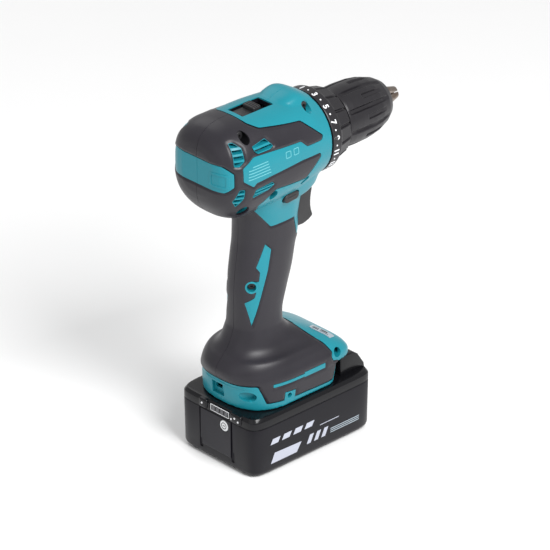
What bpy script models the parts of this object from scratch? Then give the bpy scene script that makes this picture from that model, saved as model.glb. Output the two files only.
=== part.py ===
"""Cordless drill driver with a slide-on battery, as separate sub-parts.

Metres, +X towards the chuck, +Z up, -Y the tool's right side.
The origin is on the ground under the middle of the tool's box.
"""
import math

import bmesh
import bpy
from mathutils import Matrix, Vector

# Driving dimensions.
GAP = 0.0003
AXIS_Z = 0.222
BODY_REAR = -0.091
REAR_DOME_FRONT = -0.0700
REAR_DOME_BLEND = 0.0105
COLLAR_FRONT = 0.0048
TIP_FRONT = 0.091
WALL = 0.0030
SKIN = 0.0014
BASE_BOTTOM = 0.0450
BATTERY_TOP = BASE_BOTTOM - GAP
BATTERY_SEAM = 0.0365

# Motor housing along X: x, half width, lowest z, highest z, squareness.
BARREL_SECTIONS = (
    (BODY_REAR, 0.0150, 0.2090, 0.2400, 2.8),
    (-0.0898, 0.0205, 0.2035, 0.2450, 2.8),
    (-0.0865, 0.0262, 0.1975, 0.2500, 2.7),
    (-0.0800, 0.0305, 0.1912, 0.2545, 2.6),
    (-0.0700, 0.0330, 0.1876, 0.2565, 2.5),
    (-0.0400, 0.0330, 0.1880, 0.2565, 2.5),
    (-0.0150, 0.0320, 0.1895, 0.2560, 2.3),
    (COLLAR_FRONT, 0.0296, 0.1924, 0.2516, 2.0),
)

# Raised nose on top of the housing: x, half width, lowest z, highest z, squareness.
HUMP_SECTIONS = (
    (-0.0280, 0.0110, 0.2400, 0.2555, 3.2),
    (-0.0200, 0.0150, 0.2400, 0.2586, 3.2),
    (-0.0120, 0.0155, 0.2400, 0.2600, 3.2),
    (0.0025, 0.0130, 0.2400, 0.2535, 3.2),
)

# Grip along Z: z, rear x, front x, half width, rear squareness, front squareness.
GRIP_SECTIONS = (
    (0.1990, -0.0560, -0.0055, 0.0155, 2.4, 2.6),
    (0.1710, -0.0540, -0.0058, 0.0162, 2.4, 2.6),
    (0.1600, -0.0543, -0.0050, 0.0163, 2.4, 2.5),
    (0.1500, -0.0555, -0.0080, 0.0164, 2.4, 2.4),
    (0.1350, -0.0574, -0.0113, 0.0165, 2.4, 2.4),
    (0.1200, -0.0584, -0.0163, 0.0164, 2.4, 2.4),
    (0.1030, -0.0583, -0.0209, 0.0163, 2.4, 2.4),
    (0.0860, -0.0600, -0.0200, 0.0175, 2.4, 2.4),
)

# Flare from the grip to the motor housing, in the same columns.
SHOULDER_SECTIONS = (
    (0.2160, -0.0640, 0.0045, 0.0295, 2.6, 4.0),
    (0.2030, -0.0600, 0.0045, 0.0268, 2.6, 4.0),
    (0.1945, -0.0575, 0.0042, 0.0232, 2.6, 4.0),
    (0.1885, -0.0560, 0.0005, 0.0206, 2.6, 3.6),
    (0.1862, -0.0550, -0.0060, 0.0196, 2.6, 3.2),
    (0.1780, -0.0520, -0.0065, 0.0176, 2.6, 3.0),
    (0.1700, -0.0500, -0.0070, 0.0160, 2.6, 3.0),
)

# Base block along Z, in the same columns.
BASE_SECTIONS = (
    (0.0960, -0.0590, -0.0214, 0.0168, 2.4, 2.6),
    (0.0900, -0.0610, -0.0170, 0.0194, 2.4, 2.9),
    (0.0840, -0.0650, -0.0045, 0.0250, 2.4, 3.6),
    (0.0760, -0.0700, 0.0112, 0.0310, 2.4, 4.6),
    (0.0700, -0.0732, 0.0198, 0.0340, 2.5, 5.6),
    (0.0650, -0.0730, 0.0232, 0.0354, 2.7, 6.0),
    (0.0610, -0.0724, 0.0230, 0.0357, 2.8, 6.0),
)
SKIRT_SECTIONS = (
    (0.0640, -0.0712, 0.0105, 0.0345, 2.8, 9.0),
    (0.0580, -0.0713, 0.0090, 0.0353, 2.8, 9.0),
    (BASE_BOTTOM, -0.0705, 0.0065, 0.0350, 2.8, 9.0),
)
RAIL_SPACE_SECTIONS = (
    (0.0584, -0.0660, 0.0010, 0.0305, 2.8, 4.0),
    (0.0420, -0.0660, 0.0010, 0.0305, 2.8, 4.0),
)

# Rubber skin outline seen from the side: x, z, anticlockwise.
RUBBER_OUTLINE = (
    (-0.0950, 0.2620),
    (-0.0950, 0.0635),
    (-0.0620, 0.0635),
    (-0.0570, 0.0500),
    (0.0020, 0.0480),
    (0.0060, 0.0620),
    (0.0004, 0.0634),
    (-0.0009, 0.0665),
    (0.0007, 0.0694),
    (-0.0036, 0.0762),
    (-0.0118, 0.0852),
    (-0.0180, 0.0985),
    (0.0150, 0.0985),
    (0.0150, 0.1560),
    (-0.0130, 0.1560),
    (-0.0170, 0.1715),
    (-0.0390, 0.1715),
    (-0.0620, 0.1990),
    (-0.0490, 0.2085),
    (-0.0200, 0.2060),
    (-0.0075, 0.2185),
    (-0.0085, 0.2215),
    (-0.0267, 0.2222),
    (-0.0678, 0.2198),
    (-0.0703, 0.2177),
    (-0.0780, 0.2235),
    (-0.0780, 0.2330),
    (-0.0690, 0.2385),
    (-0.0262, 0.2357),
    (-0.0208, 0.2306),
    (-0.0062, 0.2300),
    (-0.0046, 0.2325),
    (-0.0210, 0.2468),
    (-0.0543, 0.2513),
    (-0.0603, 0.2545),
    (-0.0640, 0.2620),
)
BELT_OUTLINE = (
    (-0.0950, 0.2160),
    (-0.0880, 0.2160),
    (-0.0835, 0.2205),
    (-0.0835, 0.2300),
    (-0.0885, 0.2350),
    (-0.0950, 0.2350),
)
GRIP_FLASH_OUTLINE = (
    (-0.0534, 0.1005),
    (-0.0509, 0.1090),
    (-0.0465, 0.1241),
    (-0.0415, 0.1400),
    (-0.0385, 0.1547),
    (-0.0430, 0.1596),
    (-0.0498, 0.1433),
    (-0.0475, 0.1397),
    (-0.0484, 0.1331),
    (-0.0530, 0.1330),
    (-0.0545, 0.1295),
    (-0.0530, 0.1262),
    (-0.0505, 0.1255),
    (-0.0515, 0.1216),
    (-0.0565, 0.1177),
)


# Vent windows seen from the side: lower rear corner, upper front corner, number of slots.
VENTS = (
    (-0.0828, 0.2352, -0.0756, 0.2485, 3),
    (-0.0650, 0.2394, -0.0520, 0.2456, 2),
    (-0.0826, 0.2060, -0.0770, 0.2176, 3),
    (-0.0695, 0.2100, -0.0535, 0.2154, 2),
)
VENT_FRAME = 0.0012
VENT_SLOT_SHARE = 0.45
VENT_DEPTH_FROM_MIDDLE = 0.012

# Screw holes in the right half: x, z, distance of the head's seat from the middle plane.
SCREWS = (
    (-0.0700, 0.2500, 0.0185),
    (-0.0091, 0.2505, 0.0160),
    (-0.0751, 0.2001, 0.0190),
    (-0.0500, 0.2040, 0.0240),
    (-0.0531, 0.1296, 0.0100),
    (0.0052, 0.0676, 0.0270),
    (-0.0640, 0.0560, 0.0200),
)
SCREW_HOLE_RADIUS = 0.0036
SCREW_SHANK_RADIUS = 0.0016
SCREW_SHANK_END_Y = 0.0100
WIDE = 0.060

# Openings in the housing, as lowest and highest corners, and its inner hollows.
TRIGGER_WELL = ((-0.0240, -0.0112, 0.1583), (0.0200, 0.0112, 0.1860))
SELECTOR_WINDOW = ((-0.0570, -0.0075, 0.2400), (-0.0290, 0.0075, 0.2800))
LATCH_RECESS = ((0.0180, -0.0130, 0.0560), (0.0400, 0.0130, 0.0635))
RAIL_SPACE = ((-0.0300, -0.0299, 0.0420), (0.0300, 0.0299, 0.0584))
PLUG_SPACE = ((-0.0560, -0.0180, 0.0550), (-0.0200, 0.0180, 0.0680))
HOOK_HOLE = (-0.0397, 0.0520)
HOOK_HOLE_RADIUS = 0.0022
HOOK_HOLE_BOTTOM_Y = -0.0200
NARROW_INSET = WALL + 0.0003
CAVITY_FRONT_EXTRA = 0.0120

# Controls on the housing. The trigger's outline is seen from the side: x, z.
TRIGGER_OUTLINE = (
    (-0.0160, 0.1600),
    (-0.0040, 0.1592),
    (0.0052, 0.1630),
    (0.0036, 0.1680),
    (0.0030, 0.1740),
    (0.0036, 0.1800),
    (0.0048, 0.1848),
    (-0.0160, 0.1848),
)
TRIGGER_HALF = 0.0105
TRIGGER_AXIS_Z = 0.1720
TRIGGER_SPRING_X = (-0.0229, -0.0164)
TRIGGER_SPRING_Z = 0.1725
TRIGGER_SPRING_RADIUS = 0.0030
TRIGGER_SPRING_WIRE = 0.0005
SWITCH_BOX = ((-0.0436, -0.0095, 0.1560), (-0.0234, 0.0095, 0.1780))
SWITCH_TOP_BOX = ((-0.0330, -0.0060, 0.1700), (-0.0245, 0.0060, 0.1835))
LEVER_X = -0.0270
LEVER_Z = 0.1924
LEVER_HALF = 0.0236
LEVER_SIZE = (0.0132, 0.0062)
LEVER_SLOT_SIZE = (0.0146, 0.0076)
LEVER_TILT = 5
SELECTOR_PLATE = ((-0.0590, -0.0082, 0.2506), (-0.0372, 0.0082, 0.2522))
SELECTOR_STEP = ((-0.0540, -0.0060, 0.2515), (-0.0376, 0.0060, 0.2540))
SELECTOR_THUMB = ((-0.0450, -0.0055, 0.2530), (-0.0382, 0.0055, 0.2574))
SELECTOR_MIDDLE_X = -0.0450
LED_Z = 0.1898
LED_X = (-0.0070, 0.0012)
LED_RADIUS = 0.0026
LED_HOLE_X = (-0.0100, 0.0150)
BADGE_OUTLINE = ((-0.0020, -0.0140), (0.0046, -0.0272), (0.0112, -0.0250), (0.0048, -0.0104))
BADGE_Z = (0.0600, 0.1000)
BADGE_THICKNESS = 0.0006

# Gear train: three stages of one module.
SUN_TEETH = 12
PLANET_TEETH = 9
RING_TEETH = SUN_TEETH + 2 * PLANET_TEETH
MODULE = 0.00123
PITCH_SUN = SUN_TEETH * MODULE / 2
PITCH_PLANET = PLANET_TEETH * MODULE / 2
PITCH_RING = RING_TEETH * MODULE / 2
TOOTH_OUT = 0.70 * MODULE
TOOTH_IN = 0.95 * MODULE
PLANETS = 3
PLANET_ORBIT = PITCH_SUN + PITCH_PLANET
PLANET_BORE = 0.0021
PIN_RADIUS = 0.0017
RING_OUTER = 0.0222
RING_OVERHANG = 0.0004
STAGE_X = (-0.0330, -0.0235, -0.0140)
GEAR_LENGTH = 0.0060
CARRIER_AFTER_STAGE = 0.0066
CARRIER_THICKNESS = 0.0022
CARRIER_RADIUS = 0.0168
SUN_AFTER_STAGE = 0.0080
PIN_AFTER_STAGE = 0.0004
PIN_INTO_CARRIER = 0.0010

# Turned parts as (radius, x) points, from the far end to the near end on the outer side.
GEAR_CASE_PROFILE = (
    (0.0154, 0.0235),
    (0.0154, -0.0026),
    (0.0250, -0.0026),
    (0.0250, -0.0370),
    (0.0226, -0.0370),
    (0.0226, -0.0049),
    (0.0126, -0.0049),
    (0.0126, 0.0235),
)
SELECTOR_SLOT = ((-0.0260, -0.0016, 0.2400), (-0.0110, 0.0016, 0.2600))
SPINDLE_RADIUS = 0.0060
SPINDLE_FRONT = 0.0470
SPINDLE_SCREW_HOLE_X = (0.0380, 0.0500)
SPINDLE_SCREW_HOLE_RADIUS = 0.0030
SPINDLE_BEARINGS = {"rear": (-0.0046, 0.0000), "front": (0.0170, 0.0230)}
SPINDLE_BEARING_RADII = (0.0062, 0.0124)
FORK_BAR = ((-0.0450, -0.0030, 0.2490), (-0.0185, 0.0030, 0.2502))
FORK_PIN_X = -0.0205
FORK_PIN_TOP = 0.2495
FORK_PIN_RADIUS = 0.0012
FORK_PIN_GAP = 0.0004

# Clutch and torque ring.
CLUTCH_PLATE_X = (-0.0022, -0.0008)
CLUTCH_PLATE_RADII = (0.0158, 0.0215)
CLUTCH_SPRING_X = (-0.0004, 0.0067)
CLUTCH_SPRING_RADIUS = 0.0184
CLUTCH_SPRING_WIRE = 0.0007
ADJUSTING_NUT_X = (0.0070, 0.0110)
ADJUSTING_NUT_RADII = (0.0158, 0.0212)
TORQUE_RING_PROFILE = (
    (0.0235, 0.0272),
    (0.0252, 0.0258),
    (0.0275, 0.0160),
    (0.0282, 0.0138),
    (0.0294, 0.0132),
    (0.0294, 0.0056),
    (0.0218, 0.0056),
    (0.0218, 0.0230),
    (0.0165, 0.0230),
    (0.0165, 0.0272),
)

# Motor.
STATOR_X = (-0.0700, -0.0490)
STATOR_RADII = (0.0156, 0.0255)
COILS_PROFILE = (
    (0.0228, -0.0458),
    (0.0228, -0.0487),
    (0.0153, -0.0487),
    (0.0153, -0.0703),
    (0.0228, -0.0703),
    (0.0228, -0.0732),
    (0.0136, -0.0732),
    (0.0136, -0.0458),
)
ROTOR_X = (-0.0695, -0.0495)
ROTOR_RADII = (0.0029, 0.0130)
SHAFT_REAR = -0.0870
SHAFT_RADIUS = 0.0025
MOTOR_BEARINGS = {"rear": (-0.0870, -0.0830), "front": (-0.0420, -0.0380)}
MOTOR_BEARING_RADII = (0.0027, 0.0080)
BEARING_SEAT_X = (-0.0886, -0.0825)
BEARING_SEAT_RADII = (0.0083, 0.0105)
BRACKET_X = (-0.0418, -0.0376)
BRACKET_RADII = (0.0083, 0.0262)
FAN_BLADES = 9
FAN_HUB_X = (-0.0810, -0.0745)
FAN_HUB_RADII = (0.0029, 0.0070)
FAN_BACK_X = (-0.0765, -0.0745)
FAN_BACK_RADII = (0.0060, 0.0215)
FAN_VANE = ((-0.0808, -0.0005, 0.0060), (-0.0755, 0.0005, 0.0205))

# Chuck.
JAWS = 3
JAW_ANGLE = math.radians(16)
JAW_RADIUS = 0.0031
JAW_CHANNEL_RADIUS = JAW_RADIUS + 0.0004
JAW_CHANNEL_X = (0.0980, 0.0340)
JAW_TIP_OFFSET = 0.0010
JAW_FACE_GAP = 0.0004
JAW_REAR = 0.0610
JAW_WEDGE_REACH = 0.0300
CHUCK_SCREW_X = (0.0385, 0.0480)
CHUCK_SCREW_RADIUS = 0.0027
CHUCK_SCREW_HEAD_X = (0.0474, 0.0505)
CHUCK_SCREW_HEAD_RADIUS = 0.0042
SLEEVE_PROFILE = (
    (0.0098, 0.0780),
    (0.0112, 0.0780),
    (0.0140, 0.0757),
    (0.0170, 0.0708),
    (0.0200, 0.0620),
    (0.0213, 0.0540),
    (0.0217, 0.0400),
    (0.0208, 0.0385),
    (0.0208, 0.0300),
    (0.0193, 0.0300),
    (0.0193, 0.0585),
    (0.0154, 0.0698),
    (0.0098, 0.0763),
)
CHUCK_BODY_PROFILE = (
    (0.0092, 0.0758),
    (0.0148, 0.0690),
    (0.0150, 0.0658),
    (0.0119, 0.0638),
    (0.0119, 0.0562),
    (0.0174, 0.0562),
    (0.0174, 0.0330),
    (0.0189, 0.0330),
    (0.0189, 0.0290),
    (0.0063, 0.0290),
    (0.0063, 0.0762),
)
CHUCK_NUT_PROFILE = ((0.0170, 0.0632), (0.0189, 0.0568), (0.0146, 0.0568), (0.0128, 0.0632))

# Battery sections along Z: z, rear x, front x, half width, rear and front squareness.
BATTERY_REAR = -0.0750
BATTERY_FRONT = 0.0365
BATTERY_HALF = 0.0375
BATTERY_WALL = 0.0022
BATTERY_LOW_SECTIONS = (
    (BATTERY_SEAM, BATTERY_REAR, BATTERY_FRONT, BATTERY_HALF, 8.0, 9.0),
    (0.0040, BATTERY_REAR + 0.0006, BATTERY_FRONT - 0.0004, BATTERY_HALF - 0.0004, 8.0, 9.0),
    (0.0010, BATTERY_REAR + 0.0024, BATTERY_FRONT - 0.0020, BATTERY_HALF - 0.0020, 8.0, 9.0),
    (0.0, BATTERY_REAR + 0.0045, BATTERY_FRONT - 0.0040, BATTERY_HALF - 0.0040, 8.0, 9.0),
)
BATTERY_HOLLOW_SECTIONS = (
    (BATTERY_SEAM + 0.01, BATTERY_REAR, BATTERY_FRONT, BATTERY_HALF, 9.0, 9.0),
    (BATTERY_WALL, BATTERY_REAR, BATTERY_FRONT, BATTERY_HALF, 9.0, 9.0),
)
BATTERY_TOP_SECTIONS = (
    (BATTERY_TOP, BATTERY_REAR + 0.0014, BATTERY_FRONT - 0.0010, BATTERY_HALF - 0.0010, 8.0, 9.0),
    (BATTERY_TOP - 0.0016, BATTERY_REAR, BATTERY_FRONT, BATTERY_HALF, 8.0, 9.0),
    (BATTERY_SEAM + GAP, BATTERY_REAR, BATTERY_FRONT, BATTERY_HALF, 8.0, 9.0),
)
RAIL_TOP = 0.0560
TOWER = ((-0.0500, -0.0240, 0.0430), (0.0140, 0.0240, RAIL_TOP))
FLANGE = ((-0.0460, -0.0280, 0.0512), (0.0100, 0.0280, RAIL_TOP - 0.0006))
FRONT_BLOCK_OUTLINE = (
    (0.0125, 0.0420),
    (0.0357, 0.0420),
    (0.0350, 0.0470),
    (0.0290, 0.0560),
    (0.0240, 0.0592),
    (0.0125, 0.0592),
)
FRONT_BLOCK_HALF = 0.0300
LID_HOLLOW = ((-0.0660, -0.0332, 0.0300), (0.0300, 0.0332, 0.0424))
CONTACT_WELL = ((-0.0484, -0.0154, 0.0420), (-0.0266, 0.0154, 0.0458))
GAUGE_RECESS = ((-0.0800, -0.0128, 0.0385), (-0.0738, 0.0062, 0.0432))
GAUGE_WINDOW = ((-0.0748, -0.0125, 0.0388), (-0.0741, 0.0059, 0.0429))
BUTTON_WELL = ((0.0262, -0.0165, 0.0395), (0.0500, 0.0165, 0.0700))
TONGUE_WELL = ((0.0198, -0.0106, 0.0440), (0.0280, 0.0106, 0.0700))
TONGUE = ((0.0203, -0.0100, 0.0520), (0.0275, 0.0100, 0.0612))
RELEASE_PAD_OUTLINE = (
    (0.0268, 0.0446),
    (0.0346, 0.0446),
    (0.0342, 0.0470),
    (0.0285, 0.0556),
    (0.0268, 0.0556),
)
RELEASE_PAD_HALF = 0.0160
RELEASE_PLACE = (0.0300, 0, 0.0480)
GAUGE_BUTTON_X = (-0.0752, -0.0690)
GAUGE_BUTTON_Y = -0.0077
GAUGE_BUTTON_Z = 0.0311
GAUGE_BUTTON_RADIUS = 0.0033
GAUGE_BUTTON_GAP = 0.0004
GAUGE_HOLE_X = (-0.0850, -0.0650)

# Terminals stand at this distance either side of the middle: slots, clips and blades as x and z ranges.
TERMINAL_Y = 0.0120
TERMINAL_SLOT = (0.0016, (-0.0700, -0.0260), (0.0450, 0.0600))
TERMINAL_CLIP = (0.0012, (-0.0460, -0.0290), (0.0430, 0.0476))
TERMINAL_BLADE = (0.0004, (-0.0460, -0.0300), (0.0480, 0.0600))
CLIP_BASE = ((-0.0480, -0.0150, 0.0424), (-0.0270, 0.0150, 0.0436))
BATTERY_BOARD = ((-0.0600, -0.0260, 0.0402), (0.0180, 0.0260, 0.0416))
CONTROLLER = ((-0.0520, -0.0180, 0.0690), (-0.0050, 0.0180, 0.0745))
TERMINAL_BLOCK = ((-0.0545, -0.0165, 0.0589), (-0.0215, 0.0165, 0.0660))

# Cells lie across the battery in two rows, with a holder plate near each end.
CELL_RADIUS = 0.00915
CELL_PITCH = 0.0187
CELL_FIRST_X = -0.0562
CELL_ROWS_Z = (0.0120, 0.0308)
CELL_COLUMNS = 5
CELL_HALF = 0.0325
HOLDER_OVERHANG = 0.0060
HOLDER_Z = (0.0080, 0.0350)
HOLDER_Y = ((-0.0310, -0.0280), (0.0280, 0.0310))

# Screw posts in the battery: x, side of the middle plane.
SCREW_SPOTS = ((-0.0695, 1), (-0.0695, -1), (0.0313, 1), (0.0313, -1))
SCREW_Y = 0.0240
POST_Z = (0.0008, 0.0360)
POST_RADIUS = 0.0033
POST_HEAD_HOLE = (0.0028, -0.0010, 0.0030)
POST_SHANK_HOLE = (0.0016, 0.0020, 0.0300)

COLORS = {
    "teal_plastic": ((0.020, 0.330, 0.430), 0.42, 0.0),
    "dark_rubber": ((0.045, 0.044, 0.050), 0.62, 0.0),
    "black_plastic": ((0.012, 0.012, 0.014), 0.35, 0.0),
    "grey_plastic": ((0.060, 0.060, 0.066), 0.50, 0.0),
    "steel": ((0.45, 0.44, 0.43), 0.32, 1.0),
    "dark_steel": ((0.20, 0.19, 0.18), 0.38, 1.0),
    "copper": ((0.72, 0.33, 0.16), 0.35, 1.0),
    "brass": ((0.70, 0.52, 0.24), 0.35, 1.0),
    "board_green": ((0.02, 0.16, 0.07), 0.45, 0.0),
    "silver_badge": ((0.62, 0.66, 0.68), 0.30, 0.0),
    "lens": ((0.85, 0.86, 0.88), 0.12, 0.0),
    "cell_wrap": ((0.10, 0.22, 0.50), 0.40, 0.0),
}

# Mesh fineness, and turns that carry the Z axis onto each axis.
SEGMENTS = 16
INNER_SEGMENTS = 12
WELD = 0.000001
TURN_TO = {
    "X": Matrix.Rotation(math.pi / 2, 4, "Y"),
    "Y": Matrix.Rotation(-math.pi / 2, 4, "X"),
    "Z": Matrix.Identity(4),
}


def clear_scene():
    for item in list(bpy.data.objects):
        bpy.data.objects.remove(item)


def new_collection(name):
    group = bpy.data.collections.new(name)
    bpy.context.scene.collection.children.link(group)
    return group


def make_material(name):
    color, roughness, metallic = COLORS[name]
    found = bpy.data.materials.new(name)
    found.use_nodes = True
    shader = found.node_tree.nodes["Principled BSDF"]
    shader.inputs["Base Color"].default_value = (*color, 1.0)
    shader.inputs["Roughness"].default_value = roughness
    shader.inputs["Metallic"].default_value = metallic
    return found


def material(name):
    return bpy.data.materials.get(name) or make_material(name)


def put(name, mesh, slot=None, parent=None):
    """An object for the mesh: a part if it has a material, otherwise a helper."""
    obj = bpy.data.objects.new(name, mesh)
    if slot is None:
        bpy.data.collections["cutters"].objects.link(obj)
        obj.hide_render = True
        obj.display_type = "WIRE"
    else:
        bpy.data.collections["cordless_drill"].objects.link(obj)
        mesh.materials.clear()
        mesh.materials.append(material(slot))
    if parent is not None:
        obj.parent = parent
        obj.matrix_parent_inverse = parent.matrix_world.inverted()
    return obj


def pivot(name, place):
    """An empty on a joint's axis, to carry a moving piece."""
    empty = bpy.data.objects.new(name, None)
    empty.location = place
    empty.empty_display_size = 0.01
    bpy.data.collections["cordless_drill"].objects.link(empty)
    bpy.context.view_layer.update()
    return empty


def mesh_of(bm, name):
    bmesh.ops.recalc_face_normals(bm, faces=bm.faces)
    mesh = bpy.data.meshes.new(name)
    bm.to_mesh(mesh)
    bm.free()
    return mesh


def baked(obj):
    """The object's evaluated mesh in world space, welded; the object is removed."""
    bpy.context.view_layer.update()
    graph = bpy.context.evaluated_depsgraph_get()
    mesh = bpy.data.meshes.new_from_object(obj.evaluated_get(graph))
    mesh.transform(obj.matrix_world)
    bm = bmesh.new()
    bm.from_mesh(mesh)
    bmesh.ops.remove_doubles(bm, verts=bm.verts, dist=WELD)
    bm.to_mesh(mesh)
    bm.free()
    bpy.data.objects.remove(obj)
    return mesh


def combined(first, others, operation):
    """First mesh joined with, cut by, or kept inside each of the other meshes."""
    for other in others:
        base = put("work", first)
        tool = put("tool", other)
        cut = base.modifiers.new("cut", "BOOLEAN")
        cut.operation = operation
        cut.solver = "MANIFOLD"
        cut.object = tool
        first = baked(base)
        bpy.data.objects.remove(tool)
    return first


def union(first, *others):
    return combined(first, others, "UNION")


def minus(first, *others):
    return combined(first, others, "DIFFERENCE")


def common(first, *others):
    return combined(first, others, "INTERSECT")


def smooth(mesh, degrees=35):
    mesh.shade_smooth()
    mesh.set_sharp_from_angle(angle=math.radians(degrees))
    return mesh


def box(low, high, bevel=0.0):
    bm = bmesh.new()
    bmesh.ops.create_cube(bm, size=1.0)
    size = Vector(high) - Vector(low)
    middle = (Vector(high) + Vector(low)) / 2
    bmesh.ops.transform(bm, matrix=Matrix.Translation(middle) @ Matrix.Diagonal((*size, 1)), verts=bm.verts)
    if bevel:
        bmesh.ops.bevel(bm, geom=bm.edges, offset=bevel, segments=1, affect="EDGES")
    return mesh_of(bm, "box")


def rod(start, end, radius, far_radius=None, sides=16):
    """A cylinder or cone between two points."""
    start, end = Vector(start), Vector(end)
    bm = bmesh.new()
    far_radius = radius if far_radius is None else far_radius
    length = (end - start).length
    bmesh.ops.create_cone(bm, cap_ends=True, segments=sides, radius1=radius, radius2=far_radius, depth=length)
    turn = (end - start).to_track_quat("Z", "Y").to_matrix().to_4x4()
    bmesh.ops.transform(bm, matrix=Matrix.Translation((start + end) / 2) @ turn, verts=bm.verts)
    return mesh_of(bm, "rod")


def turned(profile, center=(0, 0, AXIS_Z), steps=24, axis="X"):
    """A solid turned about an axis from (radius, place along the axis) points.

    The points run from the far end to the near end on the outer side.
    """
    bm = bmesh.new()
    points = [bm.verts.new((radius, 0, along)) for radius, along in profile]
    on_axis = profile[0][0] == 0
    pairs = list(zip(points, points[1:]))
    if not on_axis:
        pairs.append((points[-1], points[0]))
    for pair in pairs:
        bm.edges.new(pair)
    mesh = bpy.data.meshes.new("turned")
    bm.to_mesh(mesh)
    bm.free()
    obj = put("turning", mesh)
    screw = obj.modifiers.new("turn", "SCREW")
    screw.steps = steps
    screw.render_steps = steps
    screw.use_merge_vertices = True
    screw.merge_threshold = 0.00001
    result = baked(obj)
    result.transform(Matrix.Translation(center) @ TURN_TO[axis])
    return result


def tube(inner, outer, low, high, center=(0, 0, AXIS_Z), steps=24, axis="X"):
    profile = ((outer, high), (outer, low), (inner, low), (inner, high))
    return turned(profile, center, steps, axis)


def arc(middle, radius, start, end, count):
    """Points on an arc, angles in degrees."""
    angles = [math.radians(start + (end - start) * step / count) for step in range(count + 1)]
    return [(middle[0] + radius * math.cos(a), middle[1] + radius * math.sin(a)) for a in angles]


def plate(outlines, low, high, axis="Z"):
    """Flat outlines, the first outer and the rest holes, made solid from low to high along an axis.

    Along Y the outline's points are (x, z); along X they are (y, z).
    """
    curve = bpy.data.curves.new("outline", "CURVE")
    curve.dimensions = "2D"
    curve.fill_mode = "BOTH"
    curve.extrude = (high - low) / 2
    for outline in outlines:
        spline = curve.splines.new("POLY")
        spline.points.add(len(outline) - 1)
        spline.use_cyclic_u = True
        for point, (u, v) in zip(spline.points, outline):
            point.co = (u, v, 0, 1)
    obj = bpy.data.objects.new("outline", curve)
    bpy.data.collections["cutters"].objects.link(obj)
    mesh = baked(obj)
    bpy.data.curves.remove(curve)
    middle = (low + high) / 2
    mesh.transform(Matrix.Translation((0, 0, middle)))
    if axis == "Y":
        mesh.transform(Matrix(((1, 0, 0, 0), (0, 0, 1, 0), (0, 1, 0, 0), (0, 0, 0, 1))))
        mesh.flip_normals()
    if axis == "X":
        mesh.transform(Matrix(((0, 0, 1, 0), (1, 0, 0, 0), (0, 1, 0, 0), (0, 0, 0, 1))))
    return mesh


def grown(outline, amount):
    """The outline pushed outwards by an amount, corners kept sharp; the outline runs anticlockwise."""
    result = []
    count = len(outline)
    for index, point in enumerate(outline):
        here = Vector(point)
        before = (here - Vector(outline[index - 1])).normalized()
        after = (Vector(outline[(index + 1) % count]) - here).normalized()
        out_before = Vector((before.y, -before.x))
        out_after = Vector((after.y, -after.x))
        middle = (out_before + out_after).normalized()
        result.append(tuple(here + middle * (amount / max(middle.dot(out_before), 0.4))))
    return result


def power(value, exponent):
    return math.copysign(abs(value) ** exponent, value)


def rings_to_mesh(rings, name):
    """Skin over a row of closed rings with equal point counts, capped at both ends."""
    bm = bmesh.new()
    rows = [[bm.verts.new(point) for point in ring] for ring in rings]
    for near, far in zip(rows, rows[1:]):
        for index in range(len(near)):
            following = (index + 1) % len(near)
            bm.faces.new((near[index], near[following], far[following], far[index]))
    bm.faces.new(rows[0])
    bm.faces.new(rows[-1])
    bmesh.ops.triangulate(bm, faces=bm.faces)
    return mesh_of(bm, name)


def ring_across(x, half, low, high, square, segments=SEGMENTS):
    """A superellipse in the plane of Y and Z."""
    middle, tall = (low + high) / 2, (high - low) / 2
    points = []
    for index in range(segments):
        turn = math.tau * index / segments
        y = half * power(math.cos(turn), 2 / square)
        z = middle + tall * power(math.sin(turn), 2 / square)
        points.append((x, y, z))
    return points


def ring_level(z, rear, front, half, square_rear, square_front, segments=SEGMENTS):
    """A superellipse in the plane of X and Y with its own squareness at each end."""
    middle, reach = (rear + front) / 2, (front - rear) / 2
    points = []
    for index in range(segments):
        turn = math.tau * index / segments
        square = square_front if math.cos(turn) > 0 else square_rear
        x = middle + reach * power(math.cos(turn), 2 / square)
        y = half * power(math.sin(turn), 2 / square)
        points.append((x, y, z))
    return points


def barrel(inset, sections=BARREL_SECTIONS, front_extra=0.0, segments=SEGMENTS):
    rings = []
    for x, half, low, high, square in sections:
        back = inset * min(max((REAR_DOME_FRONT - x) / REAR_DOME_BLEND, 0.0), 1.0)
        rings.append(ring_across(x + back, half - inset, low + inset, high - inset, square, segments))
    if front_extra:
        x, half, low, high, square = sections[-1]
        rings.append(ring_across(x + front_extra, half - inset, low + inset, high - inset, square, segments))
    return rings_to_mesh(rings, "barrel")


def hump(inset):
    rings = []
    for x, half, low, high, square in HUMP_SECTIONS:
        rings.append(ring_across(x, half - inset, low, high - inset, square))
    return rings_to_mesh(rings, "hump")


def level_loft(sections, inset, name, segments=SEGMENTS):
    rings = [
        ring_level(z, rear + inset, front - inset, half - inset, square_rear, square_front, segments)
        for z, rear, front, half, square_rear, square_front in sections
    ]
    return rings_to_mesh(rings, name)


def envelope(inset):
    """The outside of both housing halves together, shrunk by the inset."""
    grip = level_loft(GRIP_SECTIONS, inset, "grip")
    base = level_loft(BASE_SECTIONS, inset, "base")
    skirt = level_loft(SKIRT_SECTIONS, inset, "skirt")
    shoulder = level_loft(SHOULDER_SECTIONS, inset, "shoulder")
    return union(barrel(inset), hump(inset), grip, shoulder, base, skirt)


def rubber_prism(grow):
    """The rubber areas as a block through the whole width, its edges pushed out by grow."""
    block = plate([grown(RUBBER_OUTLINE, grow)], -WIDE, WIDE, "Y")
    islands = [plate([grown(BELT_OUTLINE, -grow)], -2 * WIDE, 2 * WIDE, "Y")]
    islands.append(plate([grown(GRIP_FLASH_OUTLINE, -grow)], -2 * WIDE, 2 * WIDE, "Y"))
    for rear, low, front, high, _ in VENTS:
        islands.append(box((rear + grow, -2 * WIDE, low + grow), (front - grow, 2 * WIDE, high - grow)))
    return minus(block, *islands)


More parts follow.
